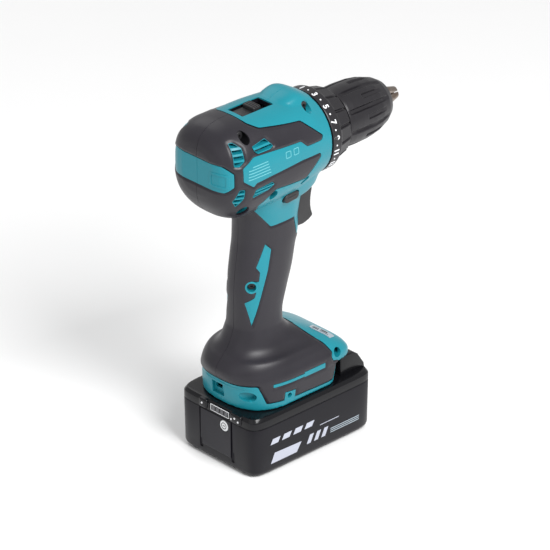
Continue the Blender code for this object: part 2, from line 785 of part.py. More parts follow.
def half_space(side):
    near, far = side * GAP / 2, side * 0.2
    return box((-0.3, min(near, far), -0.1), (0.3, max(near, far), 0.4))


def cavity():
    """The hollow inside the housing, open at the front collar and under the base."""
    barrel_rows = BARREL_SECTIONS[::2] + BARREL_SECTIONS[-1:]
    inner_barrel = barrel(WALL, barrel_rows, CAVITY_FRONT_EXTRA, INNER_SEGMENTS * 2)
    grip_rows = GRIP_SECTIONS[::3] + GRIP_SECTIONS[-1:]
    inner_grip = level_loft(grip_rows, NARROW_INSET, "inner_grip", INNER_SEGMENTS)
    inner_base = level_loft(BASE_SECTIONS[:-1:2] + BASE_SECTIONS[-2:-1], WALL, "inner_base", INNER_SEGMENTS)
    rails = union(
        level_loft(RAIL_SPACE_SECTIONS, 0, "rail_space", INNER_SEGMENTS * 2),
        box(*RAIL_SPACE),
    )
    inner_shoulder = level_loft(SHOULDER_SECTIONS[::2], NARROW_INSET, "inner_shoulder", INNER_SEGMENTS)
    return union(inner_barrel, inner_grip, inner_shoulder, inner_base, rails, box(*PLUG_SPACE))


def stadium(center, length, width, tilt=0.0, count=5):
    """A slot outline: two half circles joined by straight sides, anticlockwise."""
    radius = width / 2
    reach = (length - width) / 2
    points = arc((reach, 0), radius, -90, 90, count) + arc((-reach, 0), radius, 90, 270, count)
    turn = Matrix.Rotation(math.radians(tilt), 2)
    return [tuple(turn @ Vector(point) + Vector(center)) for point in points]


def vent_slots(side):
    slots = []
    for rear, low, front, high, count in VENTS:
        pitch = (high - low) / count
        for index in range(count):
            bottom = low + pitch * (index + 0.3)
            top = bottom + pitch * VENT_SLOT_SHARE
            near, far = sorted((side * VENT_DEPTH_FROM_MIDDLE, side * WIDE))
            slots.append(box((rear + VENT_FRAME, near, bottom), (front - VENT_FRAME, far, top)))
    return slots


def screw_holes(side):
    if side > 0:
        return []
    holes = []
    for x, z, seat in SCREWS:
        holes.append(rod((x, -seat, z), (x, -WIDE, z), SCREW_HOLE_RADIUS, sides=12))
        end, start = (x, SCREW_SHANK_END_Y, z), (x, -seat - 0.001, z)
        holes.append(rod(end, start, SCREW_SHANK_RADIUS, sides=8))
    return holes


def housing_openings(side):
    """Everything cut through one half's wall, apart from the main hollow."""
    lever_slot = plate([stadium((LEVER_X, LEVER_Z), *LEVER_SLOT_SIZE, LEVER_TILT)], -WIDE, WIDE, "Y")
    start, end = LED_HOLE_X
    lamp_hole = rod((start, 0, LED_Z), (end, 0, LED_Z), LED_RADIUS + GAP, sides=12)
    slots = [box(*TRIGGER_WELL), box(*SELECTOR_WINDOW), lever_slot, lamp_hole, box(*LATCH_RECESS)]
    if side < 0:
        x, z = HOOK_HOLE
        slots.append(rod((x, HOOK_HOLE_BOTTOM_Y, z), (x, -WIDE, z), HOOK_HOLE_RADIUS, sides=12))
    return slots + vent_slots(side) + screw_holes(side)


def housing_half(side, shell):
    half = common(shell.copy(), half_space(side))
    return minus(half, *housing_openings(side))


def make_housing():
    outside = envelope(0)
    under_skin = envelope(SKIN + GAP)
    skin_core = envelope(SKIN)
    recess = minus(rubber_prism(GAP), under_skin)
    shell = minus(outside.copy(), recess, cavity())
    skin = minus(common(outside, rubber_prism(0)), skin_core)
    bearing_seat = tube(*BEARING_SEAT_RADII, *BEARING_SEAT_X)
    shell = union(shell, bearing_seat)
    for side, word in ((-1, "right"), (1, "left")):
        half = housing_half(side, shell)
        put("housing_" + word, smooth(half), "teal_plastic")
        rubber = minus(common(skin.copy(), half_space(side)), *housing_openings(side))
        put("overmould_" + word, smooth(rubber), "dark_rubber")


def make_controls():
    make_trigger()
    switch = union(box(*SWITCH_BOX, 0.0008), box(*SWITCH_TOP_BOX))
    put("switch_body", switch, "black_plastic")
    lever_axis = pivot("lever_slide", (LEVER_X, 0, LEVER_Z))
    outline = stadium((LEVER_X, LEVER_Z), *LEVER_SIZE, LEVER_TILT)
    bar = plate([outline], -LEVER_HALF, LEVER_HALF, "Y")
    put("direction_lever", smooth(bar), "grey_plastic", lever_axis)
    selector_axis = pivot("selector_slide", (SELECTOR_MIDDLE_X, 0, AXIS_Z))
    slider = union(box(*SELECTOR_PLATE), box(*SELECTOR_STEP), box(*SELECTOR_THUMB, 0.0006))
    put("speed_selector", slider, "grey_plastic", selector_axis)
    put("led_lamp", led_lamp(), "lens")
    put("base_badge", base_badge(), "silver_badge")


def make_trigger():
    trigger_axis = pivot("trigger_slide", (0, 0, TRIGGER_AXIS_Z))
    trigger = plate([TRIGGER_OUTLINE], -TRIGGER_HALF, TRIGGER_HALF, "Y")
    put("trigger", smooth(trigger), "grey_plastic", trigger_axis)
    start, end = [(x, 0, TRIGGER_SPRING_Z) for x in TRIGGER_SPRING_X]
    spring = coil(start, end, TRIGGER_SPRING_RADIUS, TRIGGER_SPRING_WIRE, 3)
    put("trigger_spring", spring, "steel", trigger_axis)


def led_lamp():
    rear, front = LED_X
    return rod((rear, 0, LED_Z), (front, 0, LED_Z), LED_RADIUS, sides=12)


def base_badge():
    """A thin plate that follows the sloping top of the base."""
    prism = plate([BADGE_OUTLINE], *BADGE_Z)
    over = level_loft(BASE_SECTIONS, -GAP - BADGE_THICKNESS, "badge_over")
    under = level_loft(BASE_SECTIONS, -GAP, "badge_under")
    return minus(common(over, prism), under)


def coil(start, end, radius, wire, turns, sides=8):
    """A compression spring of round wire between two points on a line along X or Z."""
    start, end = Vector(start), Vector(end)
    along = end - start
    frame = along.to_track_quat("Z", "Y").to_matrix()
    curve = bpy.data.curves.new("coil", "CURVE")
    curve.dimensions = "3D"
    curve.bevel_depth = wire
    curve.bevel_resolution = 1
    curve.use_fill_caps = True
    spline = curve.splines.new("POLY")
    count = turns * sides
    spline.points.add(count)
    for index, point in enumerate(spline.points):
        turn = math.tau * index / sides
        height = wire + (along.length - 2 * wire) * index / count
        place = start + frame @ Vector((radius * math.cos(turn), radius * math.sin(turn), height))
        point.co = (*place, 1)
    obj = bpy.data.objects.new("coil", curve)
    bpy.data.collections["cutters"].objects.link(obj)
    mesh = baked(obj)
    bpy.data.curves.remove(curve)
    return mesh


def wheel_outline(teeth, root, tip, inside=False):
    """A gear outline in the plane of Y and Z with four points to each tooth.

    The first tooth, or on an internal gear the first gap, points along +Y.
    """
    pitch = math.tau / teeth
    shape = ((-0.32, root), (-0.13, tip), (0.13, tip), (0.32, root))
    points = []
    for tooth in range(teeth):
        for offset, radius in shape:
            angle = pitch * (tooth + offset)
            points.append((radius * math.cos(angle), radius * math.sin(angle)))
    return points[::-1] if inside else points


def circle(radius, count):
    turns = [math.tau * index / count for index in range(count)]
    return [(radius * math.cos(turn), radius * math.sin(turn)) for turn in turns]


def orbit_place(index):
    angle = math.tau * index / PLANETS
    return PLANET_ORBIT * math.cos(angle), PLANET_ORBIT * math.sin(angle)


def sun_gear(start, end):
    mesh = plate([wheel_outline(SUN_TEETH, PITCH_SUN - TOOTH_IN, PITCH_SUN + TOOTH_OUT)], start, end, "X")
    mesh.transform(Matrix.Translation((0, 0, AXIS_Z)))
    return mesh


def make_planets(stage, start):
    for index in range(PLANETS):
        y, z = orbit_place(index)
        outline = wheel_outline(PLANET_TEETH, PITCH_PLANET - TOOTH_IN, PITCH_PLANET + TOOTH_OUT)
        gear = plate([outline, circle(PLANET_BORE, 10)], 0, GEAR_LENGTH, "X")
        gear.transform(Matrix.Rotation(math.tau * index / PLANETS, 4, "X"))
        name = f"planet_{stage}_{index + 1}"
        axis = pivot(f"{name}_axis", (start, y, AXIS_Z + z))
        gear.transform(Matrix.Translation((start, y, AXIS_Z + z)))
        put(name, gear, "dark_steel", axis)


def make_ring_gear(stage, start):
    rear, front = start - RING_OVERHANG, start + GEAR_LENGTH + RING_OVERHANG
    inner = wheel_outline(RING_TEETH, PITCH_RING - TOOTH_OUT, PITCH_RING + TOOTH_IN, True)
    gear = plate([circle(RING_OUTER, 30), inner], rear, front, "X")
    gear.transform(Matrix.Translation((0, 0, AXIS_Z)))
    put(f"ring_gear_{stage}", gear, "dark_steel")


def carrier(stage_start):
    """A disc in front of a stage, with three pins that reach back through its planets."""
    start = stage_start + CARRIER_AFTER_STAGE
    front = start + CARRIER_THICKNESS
    disc = rod((start, 0, AXIS_Z), (front, 0, AXIS_Z), CARRIER_RADIUS, sides=24)
    pins = []
    for index in range(PLANETS):
        y, z = orbit_place(index)
        rear_end = (stage_start + PIN_AFTER_STAGE, y, AXIS_Z + z)
        front_end = (start + PIN_INTO_CARRIER, y, AXIS_Z + z)
        pins.append(rod(rear_end, front_end, PIN_RADIUS, sides=8))
    return union(disc, *pins)


def carrier_with_sun(stage_start, next_start):
    return union(carrier(stage_start), sun_gear(stage_start + SUN_AFTER_STAGE, next_start + GEAR_LENGTH))


def make_gear_train():
    case = minus(turned(GEAR_CASE_PROFILE, steps=20), box(*SELECTOR_SLOT))
    put("gear_case", smooth(case), "grey_plastic")
    for stage, start in enumerate(STAGE_X, 1):
        make_planets(stage, start)
        make_ring_gear(stage, start)
    train = pivot("drive_axis", (0, 0, AXIS_Z))
    first, second, third = STAGE_X
    put("carrier_1", carrier_with_sun(first, second), "dark_steel", train)
    put("carrier_2", carrier_with_sun(second, third), "dark_steel", train)
    put("output_spindle", smooth(output_spindle(third)), "steel", train)
    for end, (low, high) in SPINDLE_BEARINGS.items():
        bearing = tube(*SPINDLE_BEARING_RADII, low, high, steps=16)
        put(f"spindle_bearing_{end}", smooth(bearing), "steel")
    put("selector_fork", selector_fork(), "steel", bpy.data.objects["selector_slide"])


def output_spindle(stage_start):
    """The last carrier and the spindle, bored for the chuck's screw."""
    rear, front = (stage_start + SUN_AFTER_STAGE, 0, AXIS_Z), (SPINDLE_FRONT, 0, AXIS_Z)
    spindle = rod(rear, front, SPINDLE_RADIUS, sides=16)
    start, end = [(x, 0, AXIS_Z) for x in SPINDLE_SCREW_HOLE_X]
    screw_hole = rod(start, end, SPINDLE_SCREW_HOLE_RADIUS, sides=12)
    return minus(union(carrier(stage_start), spindle), screw_hole)


def selector_fork():
    """A bar from the selector with a pin down to the sliding ring gear."""
    top = (FORK_PIN_X, 0, FORK_PIN_TOP)
    bottom = (FORK_PIN_X, 0, AXIS_Z + RING_OUTER + FORK_PIN_GAP)
    return union(box(*FORK_BAR), rod(top, bottom, FORK_PIN_RADIUS, sides=8))


def make_clutch():
    put("clutch_plate", smooth(tube(*CLUTCH_PLATE_RADII, *CLUTCH_PLATE_X)), "steel")
    start, end = [(x, 0, AXIS_Z) for x in CLUTCH_SPRING_X]
    put("clutch_spring", coil(start, end, CLUTCH_SPRING_RADIUS, CLUTCH_SPRING_WIRE, 3, 10), "steel")
    put("adjusting_nut", smooth(tube(*ADJUSTING_NUT_RADII, *ADJUSTING_NUT_X)), "grey_plastic")
    ring_axis = pivot("torque_ring_axis", (0, 0, AXIS_Z))
    ring = turned(TORQUE_RING_PROFILE, steps=32)
    put("torque_ring", smooth(ring), "dark_rubber", ring_axis)


def make_motor():
    put("stator_core", smooth(tube(*STATOR_RADII, *STATOR_X, steps=24)), "dark_steel")
    put("stator_coils", smooth(turned(COILS_PROFILE, steps=20)), "copper")
    rotor_axis = pivot("rotor_axis", (0, 0, AXIS_Z))
    put("rotor_core", smooth(tube(*ROTOR_RADII, *ROTOR_X, steps=20)), "steel", rotor_axis)
    first = STAGE_X[0]
    front = first + PIN_AFTER_STAGE
    shaft = rod((SHAFT_REAR, 0, AXIS_Z), (front, 0, AXIS_Z), SHAFT_RADIUS, sides=12)
    shaft = union(shaft, sun_gear(first, first + GEAR_LENGTH))
    put("rotor_shaft", shaft, "steel", rotor_axis)
    put("cooling_fan", cooling_fan(), "black_plastic", rotor_axis)
    for end, (low, high) in MOTOR_BEARINGS.items():
        bearing = tube(*MOTOR_BEARING_RADII, low, high, steps=14)
        put(f"motor_bearing_{end}", smooth(bearing), "steel")
    put("motor_bracket", smooth(tube(*BRACKET_RADII, *BRACKET_X, steps=20)), "grey_plastic")


def cooling_fan():
    hub = tube(*FAN_HUB_RADII, *FAN_HUB_X, steps=14)
    back = tube(*FAN_BACK_RADII, *FAN_BACK_X, steps=18)
    vanes = []
    for index in range(FAN_BLADES):
        vane = box(*FAN_VANE)
        turn = Matrix.Rotation(math.tau * index / FAN_BLADES, 4, "X")
        vane.transform(Matrix.Translation((0, 0, AXIS_Z)) @ turn)
        vanes.append(vane)
    return union(hub, back, *vanes)


def jaw_line(index, x):
    """A point on one jaw's sloping axis."""
    angle = math.tau * index / JAWS + math.pi / 2
    out = JAW_TIP_OFFSET + (TIP_FRONT - x) * math.tan(JAW_ANGLE)
    return Vector((x, out * math.cos(angle), AXIS_Z + out * math.sin(angle)))


def make_chuck():
    chuck_axis = bpy.data.objects["drive_axis"]
    channels = []
    for index in range(JAWS):
        front, rear = [jaw_line(index, x) for x in JAW_CHANNEL_X]
        channels.append(rod(front, rear, JAW_CHANNEL_RADIUS, sides=10))
    body = minus(turned(CHUCK_BODY_PROFILE, steps=24), *channels)
    put("chuck_body", smooth(body), "steel", chuck_axis)
    start, end = [(x, 0, AXIS_Z) for x in CHUCK_SCREW_X]
    head_start, head_end = [(x, 0, AXIS_Z) for x in CHUCK_SCREW_HEAD_X]
    shank = rod(start, end, CHUCK_SCREW_RADIUS, sides=10)
    head = rod(head_start, head_end, CHUCK_SCREW_HEAD_RADIUS, sides=10)
    put("chuck_screw", union(shank, head), "dark_steel", chuck_axis)
    for index in range(JAWS):
        make_jaw(index)
    sleeve_axis = pivot("sleeve_axis", (0, 0, AXIS_Z))
    put("chuck_sleeve", smooth(turned(SLEEVE_PROFILE, steps=32)), "dark_rubber", sleeve_axis)
    put("chuck_nut", smooth(turned(CHUCK_NUT_PROFILE, steps=24)), "steel", sleeve_axis)


def make_jaw(index):
    """One jaw: a round bar along its slope, with two flat gripping faces beside the chuck's axis."""
    bar = rod(jaw_line(index, TIP_FRONT + 0.004), jaw_line(index, JAW_REAR), JAW_RADIUS, sides=12)
    length = TIP_FRONT - JAW_REAR + 0.02
    reach, spread = JAW_WEDGE_REACH, JAW_WEDGE_REACH * math.sqrt(3)
    wedge = plate([[(0, 0), (reach, -spread), (reach, spread)]], 0, length, "X")
    wedge.transform(Matrix.Translation((TIP_FRONT - length, JAW_FACE_GAP, 0)))
    angle = math.tau * index / JAWS + math.pi / 2
    wedge.transform(Matrix.Translation((0, 0, AXIS_Z)) @ Matrix.Rotation(angle, 4, "X"))
    axis = pivot(f"jaw_{index + 1}_slide", jaw_line(index, TIP_FRONT))
    put(f"chuck_jaw_{index + 1}", common(bar, wedge), "dark_steel", axis)


def post_hole(x, y):
    """A stepped hole for a screw driven in from below."""
    steps = []
    for radius, low, high in (POST_HEAD_HOLE, POST_SHANK_HOLE):
        steps.append(rod((x, y, low), (x, y, high), radius, sides=9))
    return union(*steps)


def lower_case():
    outside = level_loft(BATTERY_LOW_SECTIONS, 0, "battery_low", 24)
    hollow = level_loft(BATTERY_HOLLOW_SECTIONS, BATTERY_WALL, "battery_hollow", 16)
    posts, holes = [], []
    low, high = POST_Z
    for x, side in SCREW_SPOTS:
        y = side * SCREW_Y
        posts.append(rod((x, y, low), (x, y, high), POST_RADIUS, sides=8))
        holes.append(post_hole(x, y))
    start, end = [(x, GAUGE_BUTTON_Y, GAUGE_BUTTON_Z) for x in GAUGE_HOLE_X]
    button_hole = rod(start, end, GAUGE_BUTTON_RADIUS + GAUGE_BUTTON_GAP, sides=12)
    return minus(union(minus(outside, hollow), *posts), *holes, button_hole)


def make_battery():
    slide = pivot("battery_slide", (0, 0, 0))
    put("battery_lower_case", smooth(lower_case()), "black_plastic", slide)
    put("battery_upper_case", smooth(battery_upper()), "black_plastic", slide)
    make_battery_inside(slide)
    make_battery_controls(slide)


def terminal_pair(sizes):
    """One upright block on each side of the middle, from a half thickness and x and z ranges."""
    half, (rear, front), (low, high) = sizes
    pair = []
    for side in (-1, 1):
        y = side * TERMINAL_Y
        pair.append(box((rear, y - half, low), (front, y + half, high)))
    return pair


def battery_upper():
    lid = level_loft(BATTERY_TOP_SECTIONS, 0, "battery_lid", 24)
    front = plate([FRONT_BLOCK_OUTLINE], -FRONT_BLOCK_HALF, FRONT_BLOCK_HALF, "Y")
    shell = union(lid, box(*TOWER, 0.0010), box(*FLANGE, 0.0005), front)
    wells = [box(*well) for well in (LID_HOLLOW, CONTACT_WELL, GAUGE_RECESS, BUTTON_WELL, TONGUE_WELL)]
    return minus(shell, *wells, *terminal_pair(TERMINAL_SLOT))


def battery_cells():
    cells = []
    for column in range(CELL_COLUMNS):
        for z in CELL_ROWS_Z:
            x = CELL_FIRST_X + column * CELL_PITCH
            cells.append(rod((x, -CELL_HALF, z), (x, CELL_HALF, z), CELL_RADIUS, sides=10))
    rear = CELL_FIRST_X - HOLDER_OVERHANG
    front = CELL_FIRST_X + (CELL_COLUMNS - 1) * CELL_PITCH + HOLDER_OVERHANG
    low, high = HOLDER_Z
    holders = [box((rear, near, low), (front, far, high)) for near, far in HOLDER_Y]
    return union(*cells, *holders)


def make_battery_inside(slide):
    put("battery_cells", battery_cells(), "cell_wrap", slide)
    put("battery_board", box(*BATTERY_BOARD), "board_green", slide)
    contacts = union(box(*CLIP_BASE), *terminal_pair(TERMINAL_CLIP))
    put("battery_contacts", contacts, "brass", slide)


def make_battery_controls(slide):
    release_axis = pivot("release_slide", RELEASE_PLACE)
    pad = plate([RELEASE_PAD_OUTLINE], -RELEASE_PAD_HALF, RELEASE_PAD_HALF, "Y")
    put("release_button", union(pad, box(*TONGUE)), "grey_plastic", release_axis)
    release_axis.parent = slide
    start, end = [(x, GAUGE_BUTTON_Y, GAUGE_BUTTON_Z) for x in GAUGE_BUTTON_X]
    button_axis = pivot("gauge_button_slide", start)
    button = rod(start, end, GAUGE_BUTTON_RADIUS, sides=12)
    put("gauge_button", smooth(button), "grey_plastic", button_axis)
    button_axis.parent = slide
    put("gauge_window", box(*GAUGE_WINDOW), "lens", slide)


def make_electrics():
    put("controller", box(*CONTROLLER, 0.0006), "board_green")
    block = union(box(*TERMINAL_BLOCK, 0.0005), *terminal_pair(TERMINAL_BLADE))
    put("terminal_block", block, "grey_plastic")


def main():
    clear_scene()
    new_collection("cordless_drill")
    new_collection("cutters")
    make_housing()
    make_controls()
    make_gear_train()
    make_clutch()
    make_motor()
    make_chuck()
    make_electrics()
    make_battery()


main()
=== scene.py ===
import math

import bmesh
import bpy
import numpy as np
from mathutils import Matrix, Vector
from mathutils.bvhtree import BVHTree


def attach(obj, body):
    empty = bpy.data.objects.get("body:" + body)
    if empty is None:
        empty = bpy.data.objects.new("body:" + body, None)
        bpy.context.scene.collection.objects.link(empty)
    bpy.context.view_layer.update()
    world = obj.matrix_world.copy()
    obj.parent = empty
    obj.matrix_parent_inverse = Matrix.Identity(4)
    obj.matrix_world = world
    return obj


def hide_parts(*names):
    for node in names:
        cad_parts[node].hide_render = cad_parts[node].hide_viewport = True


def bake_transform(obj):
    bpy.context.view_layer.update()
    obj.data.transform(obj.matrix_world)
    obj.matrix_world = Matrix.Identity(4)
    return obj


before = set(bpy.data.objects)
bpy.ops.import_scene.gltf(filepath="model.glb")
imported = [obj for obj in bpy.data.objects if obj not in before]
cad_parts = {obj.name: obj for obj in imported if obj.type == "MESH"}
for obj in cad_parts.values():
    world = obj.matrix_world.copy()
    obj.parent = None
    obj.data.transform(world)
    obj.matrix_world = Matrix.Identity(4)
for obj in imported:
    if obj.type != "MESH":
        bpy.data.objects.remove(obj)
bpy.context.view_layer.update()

AXIS_Z = 0.222
TEAL_DROP = 0.00035
RUBBER_RISE = 0.0002
CHAMFER_WIDTH = 0.0014
CHAMFER_DEPTH = 0.00075
SKIN = 0.0014
WELD = 0.000002
WALL = 0.003
# The rounded rear of the barrel, where an inset also moves sections forward.
CAP_START, CAP_LENGTH = -0.07, 0.0105
VOXEL = 0.0009


def tenths(rows, lengths=2):
    """Rows whose first numbers are tenths of a millimetre, with those numbers in metres."""
    return tuple((*(number / 10000 for number in row[:lengths]), *row[lengths:]) for row in rows)


# Sections across X: x, half width, bottom, top, exponent of the outline.
BARREL_SECTIONS = tenths((
    (-910, 150, 2090, 2400, 2.8), (-898, 205, 2035, 2450, 2.8), (-865, 262, 1975, 2500, 2.7),
    (-800, 305, 1912, 2545, 2.6), (-700, 330, 1876, 2565, 2.5), (-400, 330, 1880, 2565, 2.5),
    (-150, 320, 1895, 2560, 2.3), (48, 296, 1924, 2516, 2.0),
), 4)
HUMP_SECTIONS = tenths((
    (-280, 110, 2400, 2555, 3.2), (-200, 150, 2400, 2586, 3.2), (-120, 155, 2400, 2600, 3.2),
    (25, 130, 2400, 2535, 3.2),
), 4)
# Level sections: z, rear, front, half width, exponents behind and in front.
GRIP_SECTIONS = tenths((
    (1990, -560, -55, 155, 2.4, 2.6), (1710, -540, -58, 162, 2.4, 2.6),
    (1600, -543, -50, 163, 2.4, 2.5), (1500, -555, -80, 164, 2.4, 2.4),
    (1350, -574, -113, 165, 2.4, 2.4), (1200, -584, -163, 164, 2.4, 2.4),
    (1030, -583, -209, 163, 2.4, 2.4), (860, -600, -200, 175, 2.4, 2.4),
), 4)
SHOULDER_SECTIONS = tenths((
    (2160, -640, 45, 295, 2.6, 4.0), (2030, -600, 45, 268, 2.6, 4.0), (1945, -575, 42, 232, 2.6, 4.0),
    (1885, -560, 5, 206, 2.6, 3.6), (1862, -550, -60, 196, 2.6, 3.2), (1780, -520, -65, 176, 2.6, 3.0),
    (1700, -500, -70, 160, 2.6, 3.0),
), 4)
BASE_SECTIONS = tenths((
    (960, -590, -214, 168, 2.4, 2.6), (900, -612, -170, 185, 2.4, 2.9), (840, -645, -45, 212, 2.4, 3.6),
    (802, -680, 32, 254, 2.4, 4.0), (780, -706, 74, 304, 2.4, 4.4), (700, -752, 198, 342, 2.4, 5.6),
    (676, -748, 218, 352, 2.5, 5.8), (650, -736, 232, 356, 2.7, 6.0), (610, -724, 230, 357, 2.8, 6.0),
), 4)
SKIRT_SECTIONS = tenths((
    (640, -712, 105, 345, 2.8, 9.0), (580, -713, 90, 353, 2.8, 9.0), (450, -705, 65, 350, 2.8, 9.0),
), 4)
RAIL_SECTIONS = tenths(((584, -660, 10, 305, 2.8, 4.0), (420, -660, 10, 305, 2.8, 4.0)), 4)

# Edges seen from the side: the rubber's arm, the belt round the back, the teal flash on the grip.
RUBBER_OUTLINE = tenths((
    (-970, 2660), (-970, 635), (-620, 635), (-570, 500), (20, 480), (60, 620), (4, 634), (-9, 665),
    (7, 694), (-36, 762), (-118, 852), (-180, 985), (150, 985), (150, 1560), (-130, 1560), (-170, 1715),
    (-390, 1715), (-620, 1990), (-490, 2085), (-200, 2060), (-75, 2185), (-85, 2215), (-267, 2222),
    (-678, 2198), (-703, 2177), (-780, 2235), (-780, 2330), (-690, 2385), (-262, 2357), (-208, 2306),
    (-62, 2300), (-46, 2325), (-210, 2468), (-543, 2513), (-603, 2545), (-640, 2660),
))
BELT_OUTLINE = tenths((
    (-970, 2160), (-880, 2160), (-835, 2205), (-835, 2300), (-885, 2350), (-970, 2350),
))
GRIP_FLASH_OUTLINE = tenths((
    (-534, 1005), (-509, 1090), (-465, 1241), (-415, 1400), (-385, 1547), (-430, 1596), (-498, 1433),
    (-475, 1397), (-484, 1331), (-530, 1330), (-545, 1295), (-530, 1262), (-505, 1255), (-515, 1216),
    (-565, 1177),
))
# Vent windows: outline seen from the side, number of slots.
VENTS = (
    (tenths(((-835, 2349), (-800, 2344), (-758, 2376), (-751, 2457), (-790, 2495), (-818, 2490))), 4),
    (tenths(((-645, 2391), (-534, 2389), (-500, 2404), (-550, 2464), (-675, 2446), (-668, 2416))), 2),
    (tenths(((-814, 2048), (-770, 2110), (-766, 2176), (-806, 2180), (-842, 2094))), 4),
    (tenths(((-708, 2095), (-566, 2110), (-513, 2136), (-530, 2160), (-679, 2150))), 3),
)
# Screw holes from the right: x, z, radius, distance of the seat from the middle, lean in degrees.
SCREWS = tenths((
    (-700, 2500, 37, 175, 0), (-86, 2504, 35, 140, 0), (-751, 2001, 40, 190, 0),
    (-500, 2040, 36, 240, 0), (-510, 1296, 33, 93, 41), (52, 676, 33, 262, 0),
), 4)


# ---------------------------------------------------------------- meshes

def steepness(at, value):
    """Slopes for a curve through points that never overshoots them."""
    step = np.diff(at)
    rise = np.diff(value) / step
    slope = np.zeros_like(value)
    slope[0], slope[-1] = rise[0], rise[-1]
    same = rise[:-1] * rise[1:] > 0
    w1, w2 = 2 * step[1:] + step[:-1], step[1:] + 2 * step[:-1]
    with np.errstate(divide="ignore", invalid="ignore"):
        mean = (w1 + w2) / (w1 / rise[:-1] + w2 / rise[1:])
    slope[1:-1] = np.where(same, mean, 0.0)
    return slope


def refined(rows, between):
    """More rows between the given ones, on smooth curves through each column."""
    table = np.array(sorted(rows), float)
    at = table[:, 0]
    fine = np.concatenate([np.linspace(a, b, between, endpoint=False) for a,
                           b in zip(at, at[1:])] + [at[-1:]])
    columns = [fine]
    spot = np.clip(np.searchsorted(at, fine, side="right") - 1, 0, len(at) - 2)
    width = at[spot + 1] - at[spot]
    t = (fine - at[spot]) / width
    for column in table.T[1:]:
        slope = steepness(at, column)
        columns.append(
            (2 * t**3 - 3 * t**2 + 1) * column[spot] + (t**3 - 2 * t**2 + t) * width * slope[spot]
            + (3 * t**2 - 2 * t**3) * column[spot + 1] + (t**3 - t**2) * width * slope[spot + 1]
        )
    return np.array(columns).T


def power(value, exponent):
    return np.sign(value) * np.abs(value) ** exponent


def skinned(rings, closed_ends=True):
    """A mesh over rings of equal point counts."""
    rings = np.array(rings, float)
    rows, count = rings.shape[:2]
    faces = []
    for a in range(0, (rows - 1) * count, count):
        for i in range(count):
            j = (i + 1) % count
            faces.append((a + i, a + j, a + count + j, a + count + i))
    if closed_ends:
        faces.append(tuple(range(count))[::-1])
        faces.append(tuple(range((rows - 1) * count, rows * count)))
    mesh = bpy.data.meshes.new("skinned")
    mesh.from_pydata(rings.reshape(-1, 3).tolist(), [], faces)
    return facing_out(mesh)


def edited(mesh, change):
    """The mesh after change(bm) has worked on it."""
    bm = bmesh.new()
    bm.from_mesh(mesh)
    change(bm)
    bm.to_mesh(mesh)
    bm.free()
    return mesh


def welded(mesh, gap):
    return edited(mesh, lambda bm: bmesh.ops.remove_doubles(bm, verts=bm.verts, dist=gap))


def facing_out(mesh):
    def turn(bm):
        bmesh.ops.recalc_face_normals(bm, faces=bm.faces)
        if bm.calc_volume(signed=True) < 0:
            bmesh.ops.reverse_faces(bm, faces=bm.faces)
    return edited(mesh, turn)


def across(rows, inset=0.0, segments=64, front_extra=0.0, between=5):
    rings = []
    turn = math.tau * np.arange(segments) / segments
    fine = refined(rows, between)
    if front_extra:
        fine = np.vstack([fine, fine[-1]])
        fine[-1, 0] += front_extra
    for x, half, low, high, square in fine:
        back = inset * min(max((CAP_START - x) / CAP_LENGTH, 0.0), 1.0)
        y = (half - inset) * power(np.cos(turn), 2 / square)
        z = (low + high) / 2 + ((high - low) / 2 - inset) * power(np.sin(turn), 2 / square)
        rings.append(np.stack([np.full(segments, x + back), y, z], 1))
    return skinned(rings)


def level(rows, inset=0.0, segments=64, between=5):
    rings = []
    turn = math.tau * np.arange(segments) / segments
    for z, rear, front, half, square_rear, square_front in refined(rows, between):
        square = np.where(np.cos(turn) > 0, square_front, square_rear)
        x = (rear + front) / 2 + ((front - rear) / 2 - inset) * power(np.cos(turn), 2 / square)
        y = (half - inset) * power(np.sin(turn), 2 / square)
        rings.append(np.stack([x, y, np.full(segments, z)], 1))
    return skinned(rings)


def linked(name, data):
    obj = bpy.data.objects.new(name, data)
    bpy.context.scene.collection.objects.link(obj)
    return obj


def applied(obj):
    """The object's mesh after its modifiers; the object is removed."""
    bpy.context.view_layer.update()
    graph = bpy.context.evaluated_depsgraph_get()
    mesh = bpy.data.meshes.new_from_object(obj.evaluated_get(graph))
    mesh.transform(obj.matrix_world)
    bpy.data.objects.remove(obj)
    return mesh


def combined(first, others, operation):
    for other in others:
        base, tool = linked("work", first), linked("work", other)
        cut = base.modifiers.new("cut", "BOOLEAN")
        cut.operation, cut.solver, cut.object = operation, "MANIFOLD", tool
        first = applied(base)
        bpy.data.objects.remove(tool)
    return first


def union(first, *others):
    return combined(first, others, "UNION")


def minus(first, *others):
    return combined(first, others, "DIFFERENCE")


def common(first, *others):
    return combined(first, others, "INTERSECT")


def plate(outlines, low, high, axis="Z"):
    """Flat outlines, the first outer and the rest holes, made solid along an axis."""
    curve = bpy.data.curves.new("outline", "CURVE")
    curve.dimensions, curve.fill_mode, curve.extrude = "2D", "BOTH", (high - low) / 2
    for outline in outlines:
        spline = curve.splines.new("POLY")
        spline.points.add(len(outline) - 1)
        spline.use_cyclic_u = True
        for point, (u, v) in zip(spline.points, outline):
            point.co = (u, v, 0, 1)
    mesh = applied(linked("work", curve))
    bpy.data.curves.remove(curve)
    mesh.transform(Matrix.Translation((0, 0, (low + high) / 2)))
    if axis == "Y":
        mesh.transform(Matrix(((1, 0, 0, 0), (0, 0, 1, 0), (0, 1, 0, 0), (0, 0, 0, 1))))
    if axis == "X":
        mesh.transform(Matrix(((0, 0, 1, 0), (1, 0, 0, 0), (0, 1, 0, 0), (0, 0, 0, 1))))
    return facing_out(welded(mesh, WELD))


def through(outline, reach):
    """An outline seen from the side, made solid as far to the left as to the right."""
    return plate([outline], -reach, reach, "Y")


